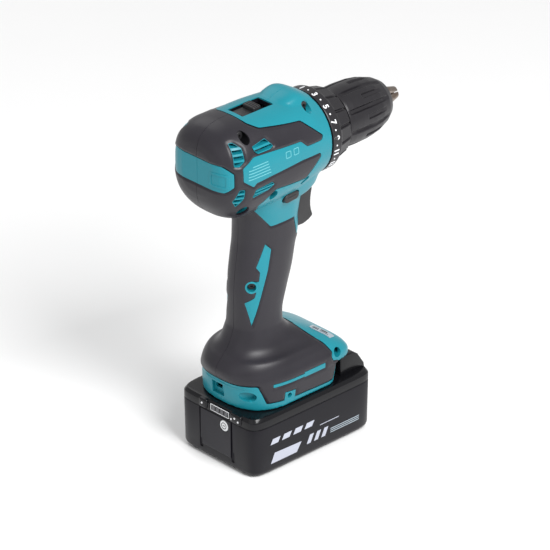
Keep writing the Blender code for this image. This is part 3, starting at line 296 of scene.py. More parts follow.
def box(low, high, bevel=0.0):
    size, middle = Vector(high) - Vector(low), (Vector(high) + Vector(low)) / 2

    def build(bm):
        bmesh.ops.create_cube(bm, size=1.0)
        place = Matrix.Translation(middle) @ Matrix.Diagonal((*size, 1))
        bmesh.ops.transform(bm, matrix=place, verts=bm.verts)
        if bevel:
            bmesh.ops.bevel(bm, geom=bm.edges, offset=bevel, segments=3, profile=0.5, affect="EDGES")
    return facing_out(edited(bpy.data.meshes.new("box"), build))


def block(x0, x1, half, z0, z1, bevel=0.0):
    """A box that reaches as far to the left of the middle as to the right."""
    return box((x0, -half, z0), (x1, half, z1), bevel)


def rod(start, end, radius, sides=40):
    start, end = Vector(start), Vector(end)
    turn = (end - start).to_track_quat("Z", "Y").to_matrix().to_4x4()

    def build(bm):
        bmesh.ops.create_cone(bm, cap_ends=True, segments=sides, radius1=radius, radius2=radius,
                              depth=(end - start).length)
        bmesh.ops.transform(bm, matrix=Matrix.Translation((start + end) / 2) @ turn, verts=bm.verts)
    return facing_out(edited(bpy.data.meshes.new("rod"), build))


def grown(outline, amount):
    result = []
    count = len(outline)
    for index, point in enumerate(outline):
        here = Vector(point)
        before = (here - Vector(outline[index - 1])).normalized()
        after = (Vector(outline[(index + 1) % count]) - here).normalized()
        out_before, out_after = Vector((before.y, -before.x)), Vector((after.y, -after.x))
        middle = (out_before + out_after).normalized()
        result.append(tuple(here + middle * (amount / max(middle.dot(out_before), 0.4))))
    return result


def rounded(outline, radius):
    """Corners replaced by short curves."""
    count, result = 4, []
    size = len(outline)
    for index, point in enumerate(outline):
        here = Vector(point)
        before, after = Vector(outline[index - 1]) - here, Vector(outline[(index + 1) % size]) - here
        reach = min(radius, before.length * 0.45, after.length * 0.45)
        a, b = here + before.normalized() * reach, here + after.normalized() * reach
        for t in (step / count for step in range(count + 1)):
            result.append(tuple(a * (1 - t) ** 2 + here * 2 * t * (1 - t) + b * t**2))
    return result


def oblong(x0, x1, z0, z1, lean=0.0):
    """Four corners, the upper two moved along by the lean."""
    return [(x0, z0), (x1, z0), (x1 + lean, z1), (x0 + lean, z1)]


def stadium(center, length, width, tilt):
    count = 10
    radius, reach = width / 2, (length - width) / 2
    points = []
    for side, begin in ((1, -90), (-1, 90)):
        for step in range(count + 1):
            angle = math.radians(begin + 180 * step / count)
            points.append((side * reach + radius * math.cos(angle), radius * math.sin(angle)))
    turn = Matrix.Rotation(math.radians(tilt), 2)
    return [tuple(turn @ Vector(point) + Vector(center)) for point in points]


def polar(profile, shape=None, segments=360):
    """Turned about the drive axis from (radius, x) points; shape(angle, x, radius) may change a radius."""
    angle = math.tau * np.arange(segments) / segments
    rings = []
    for radius, x in (*profile, profile[0]):
        r = np.full(segments, radius) if shape is None else shape(angle, x, radius)
        rings.append(np.stack([np.full(segments, x), r * np.cos(angle), AXIS_Z + r * np.sin(angle)], 1))
    return facing_out(welded(skinned(rings, closed_ends=False), 0.0000005))


def smooth(mesh, degrees):
    mesh.shade_smooth()
    mesh.set_sharp_from_angle(angle=math.radians(degrees))
    return mesh


def piece(name, mesh, finish, body, *replaced, slot=None, degrees=35):
    obj = linked(name, smooth(mesh, degrees))
    mesh.materials.clear()
    mesh.materials.append(finish)
    if body:
        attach(obj, body)
    if replaced:
        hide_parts(*replaced)
    return obj


def blended(mesh, voxel, rounds):
    """The union's joints and edges eased into one skin."""
    obj = linked("work", mesh)
    remesh = obj.modifiers.new("remesh", "REMESH")
    remesh.mode, remesh.voxel_size = "VOXEL", voxel
    ease = obj.modifiers.new("ease", "SMOOTH")
    ease.factor, ease.iterations = 0.5, rounds
    return applied(obj)


def moved_out(mesh, amount):
    points = np.empty(len(mesh.vertices) * 3)
    normals = np.empty(len(mesh.vertices) * 3)
    mesh.vertices.foreach_get("co", points)
    mesh.vertex_normals.foreach_get("vector", normals)
    result = mesh.copy()
    result.vertices.foreach_set("co", points + normals * amount)
    result.update()
    return result


def distance_to(points, outline):
    """Each 2D point's distance to an outline's edges."""
    nearest = np.full(len(points), 1.0)
    loop = np.array(outline, float)
    for a, b in zip(loop, np.roll(loop, -1, axis=0)):
        along = b - a
        t = np.clip(((points - a) @ along) / (along @ along), 0, 1)
        gap = np.hypot(*(points - a - t[:, None] * along).T)
        nearest = np.minimum(nearest, gap)
    return nearest


def scored(mesh, outlines):
    """New edges across the mesh along each outline, seen along Y."""
    past_end, beside = 0.0015, 0.0025

    def score(bm):
        for start, end in (pair for line in outlines for pair in zip(line, line[1:] + line[:1])):
            a, b = Vector(start), Vector(end)
            reach = (b - a).length
            if reach < 1e-5:
                continue
            along = (b - a).normalized()
            geom = set()
            for face in bm.faces:
                c = face.calc_center_median()
                t = (c.x - a.x) * along.x + (c.z - a.y) * along.y
                d = (c.x - a.x) * along.y - (c.z - a.y) * along.x
                if -past_end < t < reach + past_end and abs(d) < beside:
                    geom.update([face], face.edges, face.verts)
            bmesh.ops.bisect_plane(bm, geom=list(geom), dist=0.00002,
                                   plane_co=(a.x, 0, a.y), plane_no=(along.y, 0, -along.x))
    return edited(mesh, score)


def chamfered(mesh, skin, outlines, width, depth):
    """Lowers the outer surface towards each outline."""
    tree = BVHTree.FromPolygons([v.co for v in skin.vertices], [p.vertices for p in skin.polygons])
    count = len(mesh.vertices)
    points = np.empty(count * 3)
    mesh.vertices.foreach_get("co", points)
    points = points.reshape(-1, 3)
    near = np.full(count, 1.0)
    on_surface = 0.00012
    for outline in outlines:
        near = np.minimum(near, distance_to(points[:, [0, 2]], outline))
    for index in np.nonzero(near < width)[0]:
        _, normal, _, gap = tree.find_nearest(Vector(points[index]))
        if gap < on_surface:
            points[index] -= np.array(normal) * depth * (1 - near[index] / width)
    mesh.vertices.foreach_set("co", points.reshape(-1))
    mesh.update()
    return mesh


# ---------------------------------------------------------------- finishes

def with_inputs(node, **values):
    """The node with its inputs set; an underscore stands for a space in a name."""
    for name, value in values.items():
        node.inputs[name.replace("_", " ")].default_value = value
    return node


class Finish:
    """A small builder for one procedural material."""

    def __init__(self, name, metallic=0.0, coat=0.0, specular=0.5):
        self.material = bpy.data.materials.new(name)
        self.material.use_nodes = True
        self.nodes = self.material.node_tree.nodes
        self.links = self.material.node_tree.links
        self.shader = with_inputs(self.nodes["Principled BSDF"], Metallic=metallic, Coat_Weight=coat,
                                  Coat_Roughness=0.12, Specular_IOR_Level=specular)
        self.where = self.nodes.new("ShaderNodeTexCoord").outputs["Object"]
        self.bump_input = None

    def added(self, kind, source, entry, **values):
        """A new node with its inputs set, and source linked to the one called entry."""
        node = with_inputs(self.nodes.new("ShaderNode" + kind), **values)
        self.links.new(source, node.inputs[entry])
        return node

    def noise(self, scale, detail=3.0, rough=0.5, stretch=None):
        source = self.where
        if stretch:
            source = self.added("Mapping", source, "Vector", Scale=stretch).outputs["Vector"]
        node = self.added("TexNoise", source, "Vector", Scale=scale, Detail=detail, Roughness=rough)
        return node.outputs["Fac"]

    def spread(self, value, low, high, start=0.3, end=0.7):
        node = self.added("MapRange", value, "Value", From_Min=start, From_Max=end, To_Min=low, To_Max=high)
        return node.outputs["Result"]

    def mix(self, factor, one, other):
        node = self.nodes.new("ShaderNodeMix")
        node.data_type = "RGBA"
        for name, value in (("A", one), ("B", other)):
            socket = [s for s in node.inputs if s.name == name and s.type == "RGBA"][0]
            if isinstance(value, bpy.types.NodeSocket):
                self.links.new(value, socket)
            else:
                socket.default_value = (*value, 1)
        self.links.new(factor, node.inputs["Factor"])
        return [s for s in node.outputs if s.type == "RGBA"][0]

    def bump(self, value, strength, distance):
        node = self.added("Bump", value, "Height", Strength=strength, Distance=distance)
        if self.bump_input is not None:
            self.links.new(self.bump_input, node.inputs["Normal"])
        self.bump_input = node.outputs["Normal"]

    def worn(self, base, edge, amount):
        """A paler edge where the surface is convex."""
        geometry = self.nodes.new("ShaderNodeNewGeometry")
        rim = self.spread(geometry.outputs["Pointiness"], 0.0, amount, 0.52, 0.62)
        return self.mix(rim, base, edge)

    def done(self, color_output, rough_output):
        self.links.new(color_output, self.shader.inputs["Base Color"])
        self.links.new(rough_output, self.shader.inputs["Roughness"])
        if self.bump_input is not None:
            self.links.new(self.bump_input, self.shader.inputs["Normal"])
        return self.material


def lighter(color, factor):
    return tuple(min(c * factor, 1.0) for c in color)


def moulded(name, color, roughness, grain=900, depth=0.00004, mottle=0.08, edge=1.35, specular=0.5,
            coat=0.0):
    """Moulded plastic or rubber: fine texture, slight mottling, paler worn edges."""
    made = Finish(name, coat=coat, specular=specular)
    cloud = made.noise(28, 4, 0.6)
    fine = made.noise(grain, 2, 0.6)
    flow = made.noise(160, 3, 0.55)
    tint = made.mix(made.spread(cloud, 0, 1), lighter(color, 1 - mottle), lighter(color, 1 + mottle))
    tint = made.mix(made.spread(fine, 0, 0.35), tint, lighter(color, 1 - 2 * mottle))
    tint = made.worn(tint, lighter(color, edge), 0.55)
    made.bump(fine, 0.35, depth)
    made.bump(flow, 0.1, depth * 2)
    return made.done(tint, made.spread(cloud, roughness - 0.05, roughness + 0.06))


def metal(name, color, roughness, stretch=(1, 1, 1), stain=None):
    """Turned or ground metal, stained in patches if a colour for the stain is given."""
    made = Finish(name, metallic=1.0)
    lines = made.noise(700, 3, 0.6, stretch)
    cloud = made.noise(90, 4, 0.65)
    tint = made.mix(made.spread(cloud, 0, 1), lighter(color, 0.8), lighter(color, 1.12))
    if stain:
        patch = made.noise(150, 5, 0.7)
        tint = made.mix(made.spread(patch, 0, 0.85, 0.42, 0.62), tint, stain)
    made.bump(lines, 0.25, 0.00003)
    return made.done(tint, made.spread(lines, roughness - 0.08, roughness + 0.1))


def banded(name, color, scale, distortion, shade, strength, depth, grain, roughness):
    """Fine metal bands: wire laid side by side round a spool, or stacked sheets."""
    made = Finish(name, metallic=1.0)
    wave = made.added("TexWave", made.where, "Vector", Scale=scale, Distortion=distortion, Detail_Scale=3)
    wave.wave_type, wave.bands_direction = "BANDS", "X"
    bands = wave.outputs["Fac"]
    tint = made.mix(made.spread(bands, 0, 1, 0, 1), lighter(color, shade), color)
    made.bump(bands, strength, depth)
    return made.done(tint, made.spread(made.noise(grain), *roughness))


def clear_lens(name, color):
    made = Finish(name, coat=0.5)
    with_inputs(made.shader, Transmission_Weight=0.6, IOR=1.49)
    cloud = made.noise(400)
    made.bump(cloud, 0.05, 0.00002)
    tint = made.mix(made.spread(cloud, 0, 1), lighter(color, 0.94), color)
    return made.done(tint, made.spread(cloud, 0.06, 0.14))


def circuit(name, color):
    """Square cells of two tones, as tracks and pads on a board."""
    made = Finish(name, coat=0.4)
    node = made.added("TexVoronoi", made.where, "Vector", Scale=420)
    node.distance = "CHEBYCHEV"
    cells = node.outputs["Distance"]
    tint = made.mix(made.spread(cells, 0, 1, 0.3, 0.36), color, lighter(color, 0.55))
    made.bump(cells, 0.3, 0.0002)
    return made.done(tint, made.spread(made.noise(60), 0.35, 0.5))


# Moulded: name, colour, roughness, scale and depth of the grain, mottling, edges, specular, coat.
TEAL_FINISH = moulded("teal_plastic", (0.008, 0.216, 0.272), 0.32, 1500, 0.00003, 0.05, 1.5, 0.32)
RUBBER_FINISH = moulded("soft_rubber", (0.0172, 0.0154, 0.0208), 0.38, 2200, 0.00009, 0.16, 2.0, 0.38)
CHUCK_FINISH = moulded("chuck_plastic", (0.014, 0.0128, 0.0155), 0.36, 1600, 0.00005, 0.12, 2.4, 0.38)
BLACK_FINISH = moulded("battery_plastic", (0.006, 0.0056, 0.0082), 0.3, 1800, 0.00004, 0.12, 2.6, 0.24)
GLOSS_FINISH = moulded("gloss_black", (0.004, 0.004, 0.0052), 0.22, 900, 0.00001, 0.06, 3.0, 0.24, 0.1)
KEY_FINISH = moulded("key_plastic", (0.014, 0.0135, 0.015), 0.44, 1700, 0.00005, 0.1, 2.0)
# White print on the ring and the gauge, also used for painted glints as dots on the battery lugs.
WHITE_PRINT_AND_GLINT_FINISH = moulded("white_print_and_painted_glint", (0.8, 0.81, 0.83), 0.45, 2400, 0.00002, 0.03, 1.0)
PALE_FINISH = moulded("pale_print", (0.46, 0.48, 0.56), 0.4, 2400, 0.00002, 0.03, 1.0)
DIM_FINISH = moulded("dim_print", (0.085, 0.085, 0.095), 0.45, 2400, 0.00002, 0.05, 1.0)
DIM_TEAL_FINISH = moulded("faint_print", (0.11, 0.42, 0.47), 0.45, 2400, 0.00002, 0.05, 1.0)
BUTTON_FINISH = moulded("button_plastic", (0.7, 0.71, 0.73), 0.35, 1600, 0.00002, 0.03, 1.0)
BADGE_FINISH = moulded("badge_plate", (0.34, 0.4, 0.45), 0.3, 1800, 0.00002, 0.08, 1.0, coat=0.3)
WRAP_FINISH = moulded("cell_wrap", (0.07, 0.2, 0.46), 0.3, 500, mottle=0.06, coat=0.3)
# Matte near-black: printed marks on the badge, and painted shade lining the upper rear screw hole.
DARK_PRINT_AND_SHADE_FINISH = moulded("dark_print_and_painted_shade", (0.004, 0.004, 0.005), 0.7, mottle=0.1, edge=1.0, specular=0.05)
STEEL_FINISH = metal("turned_steel", (0.5, 0.49, 0.47), 0.3, stretch=(9, 1, 1))
DARK_STEEL_FINISH = metal("dark_steel", (0.17, 0.16, 0.155), 0.36)
JAW_FINISH = metal("jaw_steel", (0.34, 0.305, 0.28), 0.34, stretch=(1, 4, 4), stain=(0.2, 0.145, 0.11))
BRASS_FINISH = metal("contact_brass", (0.72, 0.54, 0.26), 0.3)
COPPER_FINISH = banded("copper_winding", (0.72, 0.33, 0.16), 380, 0.6, 0.45, 0.6, 0.0002, 300, (0.22, 0.38))
CORE_FINISH = banded("stator_steel", (0.34, 0.33, 0.32), 320, 0.0, 0.5, 0.4, 0.0001, 200, (0.28, 0.45))
BOARD_FINISH = circuit("circuit_board", (0.02, 0.16, 0.07))
LENS_FINISH = clear_lens("clear_lens", (0.92, 0.94, 0.96))


# ---------------------------------------------------------------- housing

ARM_OUTLINE = rounded(RUBBER_OUTLINE, 0.0012)
BELT = rounded(BELT_OUTLINE, 0.0005)
FLASH = rounded(GRIP_FLASH_OUTLINE, 0.0007)
WINDOWS = [(rounded(outline, 0.0009), slots) for outline, slots in VENTS]
WIDE = 0.06
SIDE_SLOT = tenths((
    (-525, 612), (-263, 612), (-263, 606), (-69, 606), (-69, 646), (-263, 646), (-263, 636),
    (-525, 636),
))
HOOK_PAD = tenths(((-445, 488), (-350, 482), (-342, 545), (-435, 553)))
HOOK_HOLE = (-0.0397, 0.052)


def rubber_outlines():
    return [ARM_OUTLINE, BELT, FLASH, SIDE_SLOT, HOOK_PAD] + [outline for outline, _ in WINDOWS]


def rubber_block(grow):
    arm = through(grown(ARM_OUTLINE, grow), WIDE)
    return minus(arm, *[through(grown(island, -grow), 2 * WIDE) for island in rubber_outlines()[1:]])


def cavity():
    barrel = across(BARREL_SECTIONS[::2] + BARREL_SECTIONS[-1:], WALL, 32, 0.012, 1)
    grip = level(GRIP_SECTIONS[::3] + GRIP_SECTIONS[-1:], WALL + 0.0003, 20, 1)
    base = level(BASE_SECTIONS[:-1:2] + BASE_SECTIONS[-2:-1], WALL, 24, 1)
    shoulder = level(SHOULDER_SECTIONS[::2], WALL + 0.0003, 20, 1)
    rails = union(level(RAIL_SECTIONS, 0, 32, 1), block(-0.03, 0.03, 0.0299, 0.042, 0.0584))
    plug = block(-0.056, -0.02, 0.018, 0.055, 0.068)
    return union(barrel, grip, shoulder, base, rails, plug)


def solid_envelope(inset, segments, between):
    barrel = across(BARREL_SECTIONS, inset, segments, 0, between)
    hump = [(x, half - inset, low, high - inset, square) for x, half, low, high, square in HUMP_SECTIONS]
    hump = across(hump, 0, segments, 0, between)
    upright = (GRIP_SECTIONS, SHOULDER_SECTIONS, BASE_SECTIONS, SKIRT_SECTIONS)
    lofts = [level(rows, inset, segments, between) for rows in upright]
    return union(barrel, hump, *lofts)


def half_space(side):
    near, far = sorted((side * 0.00012, side * 0.2))
    return box((-0.3, near, -0.1), (0.3, far, 0.4))


def slots_in(outline, count, side):
    """Bars of air inside a vent window, its louvres left between them."""
    xs, zs = [p[0] for p in outline], [p[1] for p in outline]
    pitch = (max(zs) - min(zs)) / count
    near, far = sorted((side * 0.012, side * WIDE))
    inner = plate([grown(outline, -0.0004)], near, far, "Y")
    sill, open_share = 0.2, 0.66
    cuts = []
    for index in range(count):
        bottom = min(zs) + pitch * (index + sill)
        bar = box((min(xs) - 0.001, near - 0.001, bottom),
                  (max(xs) + 0.001, far + 0.001, bottom + pitch * open_share))
        cuts.append(common(inner, bar))
    return cuts


def screw_axis(row):
    """Where a screw's head sits, and the direction out of its hole."""
    x, z, _, seat, lean = row
    lean = math.radians(lean)
    return Vector((x, -seat, z)), Vector((-math.sin(lean), -math.cos(lean), 0))


def along_screw(row, low, high, radius, sides=36):
    """A rod on a screw's axis, from low to high measured outwards from its seat."""
    seat, out = screw_axis(row)
    return rod(seat + out * low, seat + out * high, radius, sides=sides)


def screw_cuts():
    cuts = []
    for row in SCREWS:
        cuts.append(along_screw(row, 0, 0.03, row[2], 28))
        cuts.append(along_screw(row, -0.02, 0.001, 0.0016, 12))
    return cuts


def oval_cut(center, normal, length, height, depth):
    """A cutter for an oval recess whose floor lies depth below the centre."""
    tool = rod((0, 0, -depth), (0, 0, 0.01), 1.0, sides=48)
    normal = Vector(normal).normalized()
    along = Vector((-normal.y, normal.x, 0)).normalized()
    frame_turn = Matrix((along, normal.cross(along), normal)).transposed().to_4x4()
    size = Matrix.Diagonal((length / 2, height / 2, 1, 1))
    tool.transform(Matrix.Translation(center) @ frame_turn @ size)
    return facing_out(tool)


def openings(side):
    trigger_well = block(-0.024, 0.02, 0.0112, 0.1583, 0.186, 0.0008)
    window = block(-0.057, -0.029, 0.0075, 0.24, 0.28, 0.0008)
    lever_slot = through(stadium((-0.027, 0.1924), 0.0146, 0.0076, 5), WIDE)
    lamp_hole = rod((-0.01, 0, 0.1898), (0.015, 0, 0.1898), 0.0029)
    latch_recess = block(0.018, 0.04, 0.013, 0.056, 0.0635)
    notch = box((-0.08, -0.0031, 0.05), (-0.0674, 0.0084, 0.0588), 0.0004)
    pit = box((-0.08, 0.0016, 0.0528), (-0.063, 0.0079, 0.0583), 0.0003)
    cuts = [trigger_well, window, lever_slot, lamp_hole, latch_recess, notch, pit]
    if side < 0:
        cuts.append(oval_cut((-0.066, -0.0215, 0.0556), (-0.62, -0.78, 0), 0.012, 0.007, 0.003))
        x, z = HOOK_HOLE
        cuts.append(rod((x, -0.02, z), (x, -WIDE, z), 0.0019, sides=20))
        cuts.extend(screw_cuts())
        cuts.append(plate([stadium((-0.02, 0.204), 0.0078, 0.003, 30)], -WIDE, -0.0245, "Y"))
    return cuts


def make_housing():
    skin = blended(solid_envelope(0, 72, 5), VOXEL, 7)
    proud = moved_out(skin, RUBBER_RISE)
    sunk = moved_out(skin, -TEAL_DROP)
    core_rubber = solid_envelope(SKIN, 40, 2)
    core_recess = solid_envelope(SKIN + 0.0003, 40, 2)
    hollow = cavity()
    rubber_all = minus(common(proud, rubber_block(0)), core_rubber)
    shell_all = minus(sunk, minus(rubber_block(0.0002), core_recess), hollow)
    seat = polar(((0.0105, -0.0825), (0.0105, -0.0886), (0.0083, -0.0886), (0.0083, -0.0825)), segments=48)
    shell_all = union(shell_all, seat)
    badge = [rounded(oblong(-0.0262, -0.012, 0.219, 0.2294), 0.0024),
             rounded(oblong(-0.0246, -0.0136, 0.2204, 0.228), 0.0016)]
    emboss = minus(common(skin, plate(badge, -0.1, -0.082, "X")), core_rubber)
    shell_all = union(shell_all, emboss)
    outlines = rubber_outlines()
    shrunk = [grown(ARM_OUTLINE, -CHAMFER_WIDTH)] + [grown(o, CHAMFER_WIDTH) for o in outlines[1:3]]
    for side, word in ((-1, "right"), (1, "left")):
        cuts = openings(side)
        louvres = [cut for outline, count in WINDOWS for cut in slots_in(outline, count, side)]
        shell = minus(common(shell_all, half_space(side)), *cuts, *louvres)
        piece(f"housing_shell_{word}", shell, TEAL_FINISH, "housing", f"housing_{word}",
              slot="teal_plastic", degrees=40)
        rubber = minus(common(rubber_all, half_space(side)), *cuts)
        rubber = scored(rubber, shrunk)
        rubber = chamfered(rubber, proud, outlines, CHAMFER_WIDTH, CHAMFER_DEPTH)
        piece(f"soft_grip_{word}", rubber, RUBBER_FINISH, "housing", f"overmould_{word}",
              slot="dark_rubber", degrees=40)
    # A near-black sleeve inside the upper rear screw hole: painted shade, so the hole reads dark.
    row = SCREWS[0]
    bore = along_screw(row, -0.001, 0.04, row[2] - 0.0005)
    shade_lining = minus(along_screw(row, 0, 0.03, row[2] - 0.00005), bore)
    piece("hole_painted_shade", common(shade_lining, solid_envelope(0.0003, 40, 2)), DARK_PRINT_AND_SHADE_FINISH, "housing")
    return skin


# ---------------------------------------------------------------- chuck and torque ring

PADS, LOBES = 9, 15
# Profiles: radius, x.
SLEEVE_OUTSIDE = tenths((
    (98, 780), (106, 780), (116, 778), (140, 757), (170, 708), (200, 620), (213, 540), (217, 420),
    (215, 360), (210, 316), (206, 302), (203, 300),
))
SLEEVE_INSIDE = tenths(((193, 300), (193, 560), (190, 590), (154, 698), (98, 763)))
RING_OUTSIDE = tenths((
    (235, 272), (240, 269), (252, 256), (275, 160), (281, 140), (289, 134), (292, 132), (294, 127),
    (294, 60), (291, 56),
))
RING_INSIDE = tenths(((218, 56), (218, 230), (165, 230), (165, 272)))
CORE_PROFILE = tenths((
    (92, 758), (148, 690), (150, 658), (119, 638), (119, 562), (174, 562), (174, 330), (189, 330),
    (189, 290), (63, 290), (63, 754), (67, 758),
))
BAND_RADIUS = 0.0294
BAND_MIDDLE = 0.0084
MARK_RISE = 0.00022
# The odd numbers from 1 round the band, by their angles from the top in degrees.
ANGLES = (99.0, 75.0, 51.5, 29.0, 7.5, -13.5, -35, -56.5, -78, -99.5, -121)


def stepped(profile, step):
    rows = [profile[0]]
    for (r0, x0), (r1, x1) in zip(profile, profile[1:]):
        count = max(1, math.ceil(math.hypot(r1 - r0, x1 - x0) / step))
        rows += [(r0 + (r1 - r0) * i / count, x0 + (x1 - x0) * i / count) for i in range(1, count + 1)]
    return rows


def ramp(value, low, high):
    share = np.clip((value - low) / (high - low), 0, 1)
    return share * share * (3 - 2 * share)


def fluted(outside, inside, shape, segments, step):
    """Turned about X, its outside shaped and its inside plain."""
    rows = stepped(outside, step)
    shaped = set(rows)

    def radii(angle, x, radius):
        return shape(angle, x, radius) if (radius, x) in shaped else np.full(segments, radius)
    return polar(rows + list(inside), radii, segments)


def sleeve_shape(angle, x, radius):
    turn = (np.degrees(angle) + 10) * PADS / 360 % 1.0
    off = np.abs(turn - 0.5) * 360 / PADS
    body = ramp(x, 0.0306, 0.033) * (1 - ramp(x, 0.064, 0.0715))
    groove = ramp(off, 14.2, 17.4) * body
    slot = (1 - ramp(off, 3.6, 5.0)) * ramp(x, 0.0462, 0.0474) * (1 - ramp(x, 0.059, 0.066))
    crown = 1 - np.cos(np.radians(np.minimum(off, 15) * 1.5))
    depth = 0.0013 + 0.0006 * ramp(x, 0.034, 0.038) * (1 - ramp(x, 0.048, 0.055))
    return radius - depth * groove - 0.0012 * slot - 0.0012 * crown * body


def ring_shape(angle, x, radius):
    turn = (np.degrees(angle) + 5) * LOBES / 360 % 1.0
    off = (turn - 0.5) * 360 / LOBES
    flat = radius * math.cos(math.pi / LOBES) / np.cos(np.radians(off))
    amount = ramp(x, 0.0138, 0.0156)
    edge = ramp(np.abs(off), 8.8, 11.4)
    return radius + amount * (flat - radius) - amount * edge * 0.0018


def numeral(text, degrees):
    """A figure from the built-in font, laid round the band with its top towards the chuck."""
    curve = bpy.data.curves.new("numeral", "FONT")
    curve.body, curve.align_x, curve.align_y = text, "CENTER", "CENTER"
    curve.size, curve.offset, curve.extrude, curve.space_character = 0.006, 0.00016, MARK_RISE, 0.95
    mesh = applied(linked("numeral", curve))
    middle = math.radians(180 - degrees)
    for vertex in mesh.vertices:
        across_band, along_band, lift = vertex.co
        turn = middle + across_band / BAND_RADIUS
        radius = BAND_RADIUS + lift
        vertex.co = (BAND_MIDDLE + along_band, radius * math.cos(turn), AXIS_Z + radius * math.sin(turn))
    return mesh


def merged(meshes):
    """Several meshes as one, without joining their surfaces."""
    bm = bmesh.new()
    for mesh in meshes:
        bm.from_mesh(mesh)
    result = bpy.data.meshes.new("merged")
    bm.to_mesh(result)
    bm.free()
    return result


def band_dot(degrees):
    turn = math.radians(180 - degrees)
    out = Vector((0, math.cos(turn), math.sin(turn)))
    foot = Vector((BAND_MIDDLE, 0, AXIS_Z))
    return rod(foot + out * (BAND_RADIUS - 0.0004), foot + out * (BAND_RADIUS + MARK_RISE), 0.00062,
               sides=20)


def make_torque_ring():
    step = 0.0007
    ring = fluted(RING_OUTSIDE, RING_INSIDE, ring_shape, 720, step)
    piece("torque_ring_body", ring, CHUCK_FINISH, "torque_ring", "torque_ring", slot="dark_rubber",
          degrees=50)
    between = [(one + other) / 2 for one, other in zip(ANGLES, ANGLES[1:])]
    marks = [numeral(str(2 * index + 1), degrees) for index, degrees in enumerate(ANGLES)]
    marks += [band_dot(degrees) for degrees in between]
    piece("torque_ring_numerals", merged(marks), WHITE_PRINT_AND_GLINT_FINISH, "torque_ring")


def jaw_point(index, x):
    angle = math.tau * index / 3 + math.pi / 2
    out = 0.001 + (0.091 - x) * math.tan(math.radians(16))
    return Vector((x, out * math.cos(angle), AXIS_Z + out * math.sin(angle)))


def make_chuck():
    step = 0.0007
    sleeve = fluted(SLEEVE_OUTSIDE, SLEEVE_INSIDE, sleeve_shape, 720, step)
    piece("chuck_grip", sleeve, CHUCK_FINISH, "chuck_sleeve", "chuck_sleeve", slot="dark_rubber",
          degrees=50)
    body = polar(stepped(CORE_PROFILE, 0.004), segments=96)
    channels = [rod(jaw_point(i, 0.098), jaw_point(i, 0.034), 0.0035) for i in range(3)]
    piece("chuck_core", minus(body, *channels), STEEL_FINISH, "spindle", "chuck_body", slot="steel")
    for index in range(3):
        bar = rod(jaw_point(index, 0.095), jaw_point(index, 0.061), 0.0031, sides=64)
        reach, half = 0.03, 0.03 * math.sqrt(3)
        wedge = plate([[(0, 0), (reach, -half), (reach, half)]], 0.041, 0.091, "X")
        wedge.transform(Matrix.Translation((0, 0.0004, 0)))
        angle = math.tau * index / 3 + math.pi / 2
        wedge.transform(Matrix.Translation((0, 0, AXIS_Z)) @ Matrix.Rotation(angle, 4, "X"))
        jaw = softened(common(bar, wedge), 0.00035, 50)
        piece(f"jaw_{index + 1}_bar", jaw, JAW_FINISH, f"jaw_{index + 1}", f"chuck_jaw_{index + 1}",
              slot="dark_steel")


# ---------------------------------------------------------------- controls

TRIGGER = tenths((
    (-160, 1600), (-100, 1594), (-40, 1592), (10, 1606), (52, 1630), (46, 1652), (36, 1680), (31, 1710),
    (30, 1740), (32, 1770), (36, 1800), (42, 1826), (48, 1848), (-160, 1848),
))


def softened(mesh, width, degrees=40, segments=3):
    """The mesh with its sharp edges rounded over."""
    def soften(bm):
        bmesh.ops.dissolve_limit(bm, angle_limit=math.radians(1), verts=bm.verts, edges=bm.edges)
        sharp = [edge for edge in bm.edges
                 if len(edge.link_faces) == 2 and edge.calc_face_angle(0) > math.radians(degrees)]
        bmesh.ops.bevel(bm, geom=sharp, offset=width, segments=segments, profile=0.5, affect="EDGES",
                        clamp_overlap=True)
        bmesh.ops.triangulate(bm, faces=[face for face in bm.faces if len(face.verts) > 4])
    return facing_out(edited(welded(mesh, WELD), soften))


def make_controls():
    trigger = softened(through(TRIGGER, 0.0105), 0.0016, 40, 4)
    piece("trigger_blade", trigger, KEY_FINISH, "trigger", "trigger", slot="grey_plastic", degrees=45)
    lever = through(stadium((-0.027, 0.1924), 0.0132, 0.0062, 5), 0.0236)
    ridge = through(stadium((-0.027, 0.1926), 0.0072, 0.001, 5), 0.0239)
    lever = union(softened(lever, 0.0009, 40, 4), softened(ridge, 0.0003))
    piece("lever_bar", lever, KEY_FINISH, "direction_lever", "direction_lever", slot="grey_plastic")
    base = softened(block(-0.059, -0.0372, 0.0082, 0.2506, 0.2522), 0.0003)
    step = softened(block(-0.054, -0.0376, 0.006, 0.2515, 0.254), 0.0004)
    thumb = softened(block(-0.045, -0.0382, 0.0055, 0.253, 0.2574), 0.001)
    notches = [block(x, x + 0.0006, 0.007, 0.2567, 0.258) for x in (-0.0437, -0.0419, -0.0401)]
    piece("selector_slider", minus(union(base, step, thumb), *notches), KEY_FINISH, "speed_selector",
          "speed_selector", slot="grey_plastic")
    liner = minus(block(-0.0569, -0.0291, 0.0074, 0.252, 0.2551),
                  block(-0.0564, -0.0296, 0.0069, 0.25, 0.26))
    bottom = minus(block(-0.06, -0.028, 0.009, 0.2488, 0.2491), block(-0.029, -0.027, 0.003, 0.24, 0.26))
    piece("selector_well", merged([liner, bottom]), BLACK_FINISH, "housing")
    lens = softened(rod((-0.007, 0, 0.1898), (0.0012, 0, 0.1898), 0.0026), 0.0006, 60)
    piece("led_lens", lens, LENS_FINISH, "housing", "led_lamp", slot="lens")


# Bars on the badge: start and length along it, start and length across it.
BADGE_BARS = tenths(((15, 42, 18, 10), (15, 42, 42, 6), (70, 58, 16, 6), (70, 46, 36, 16)), 4)


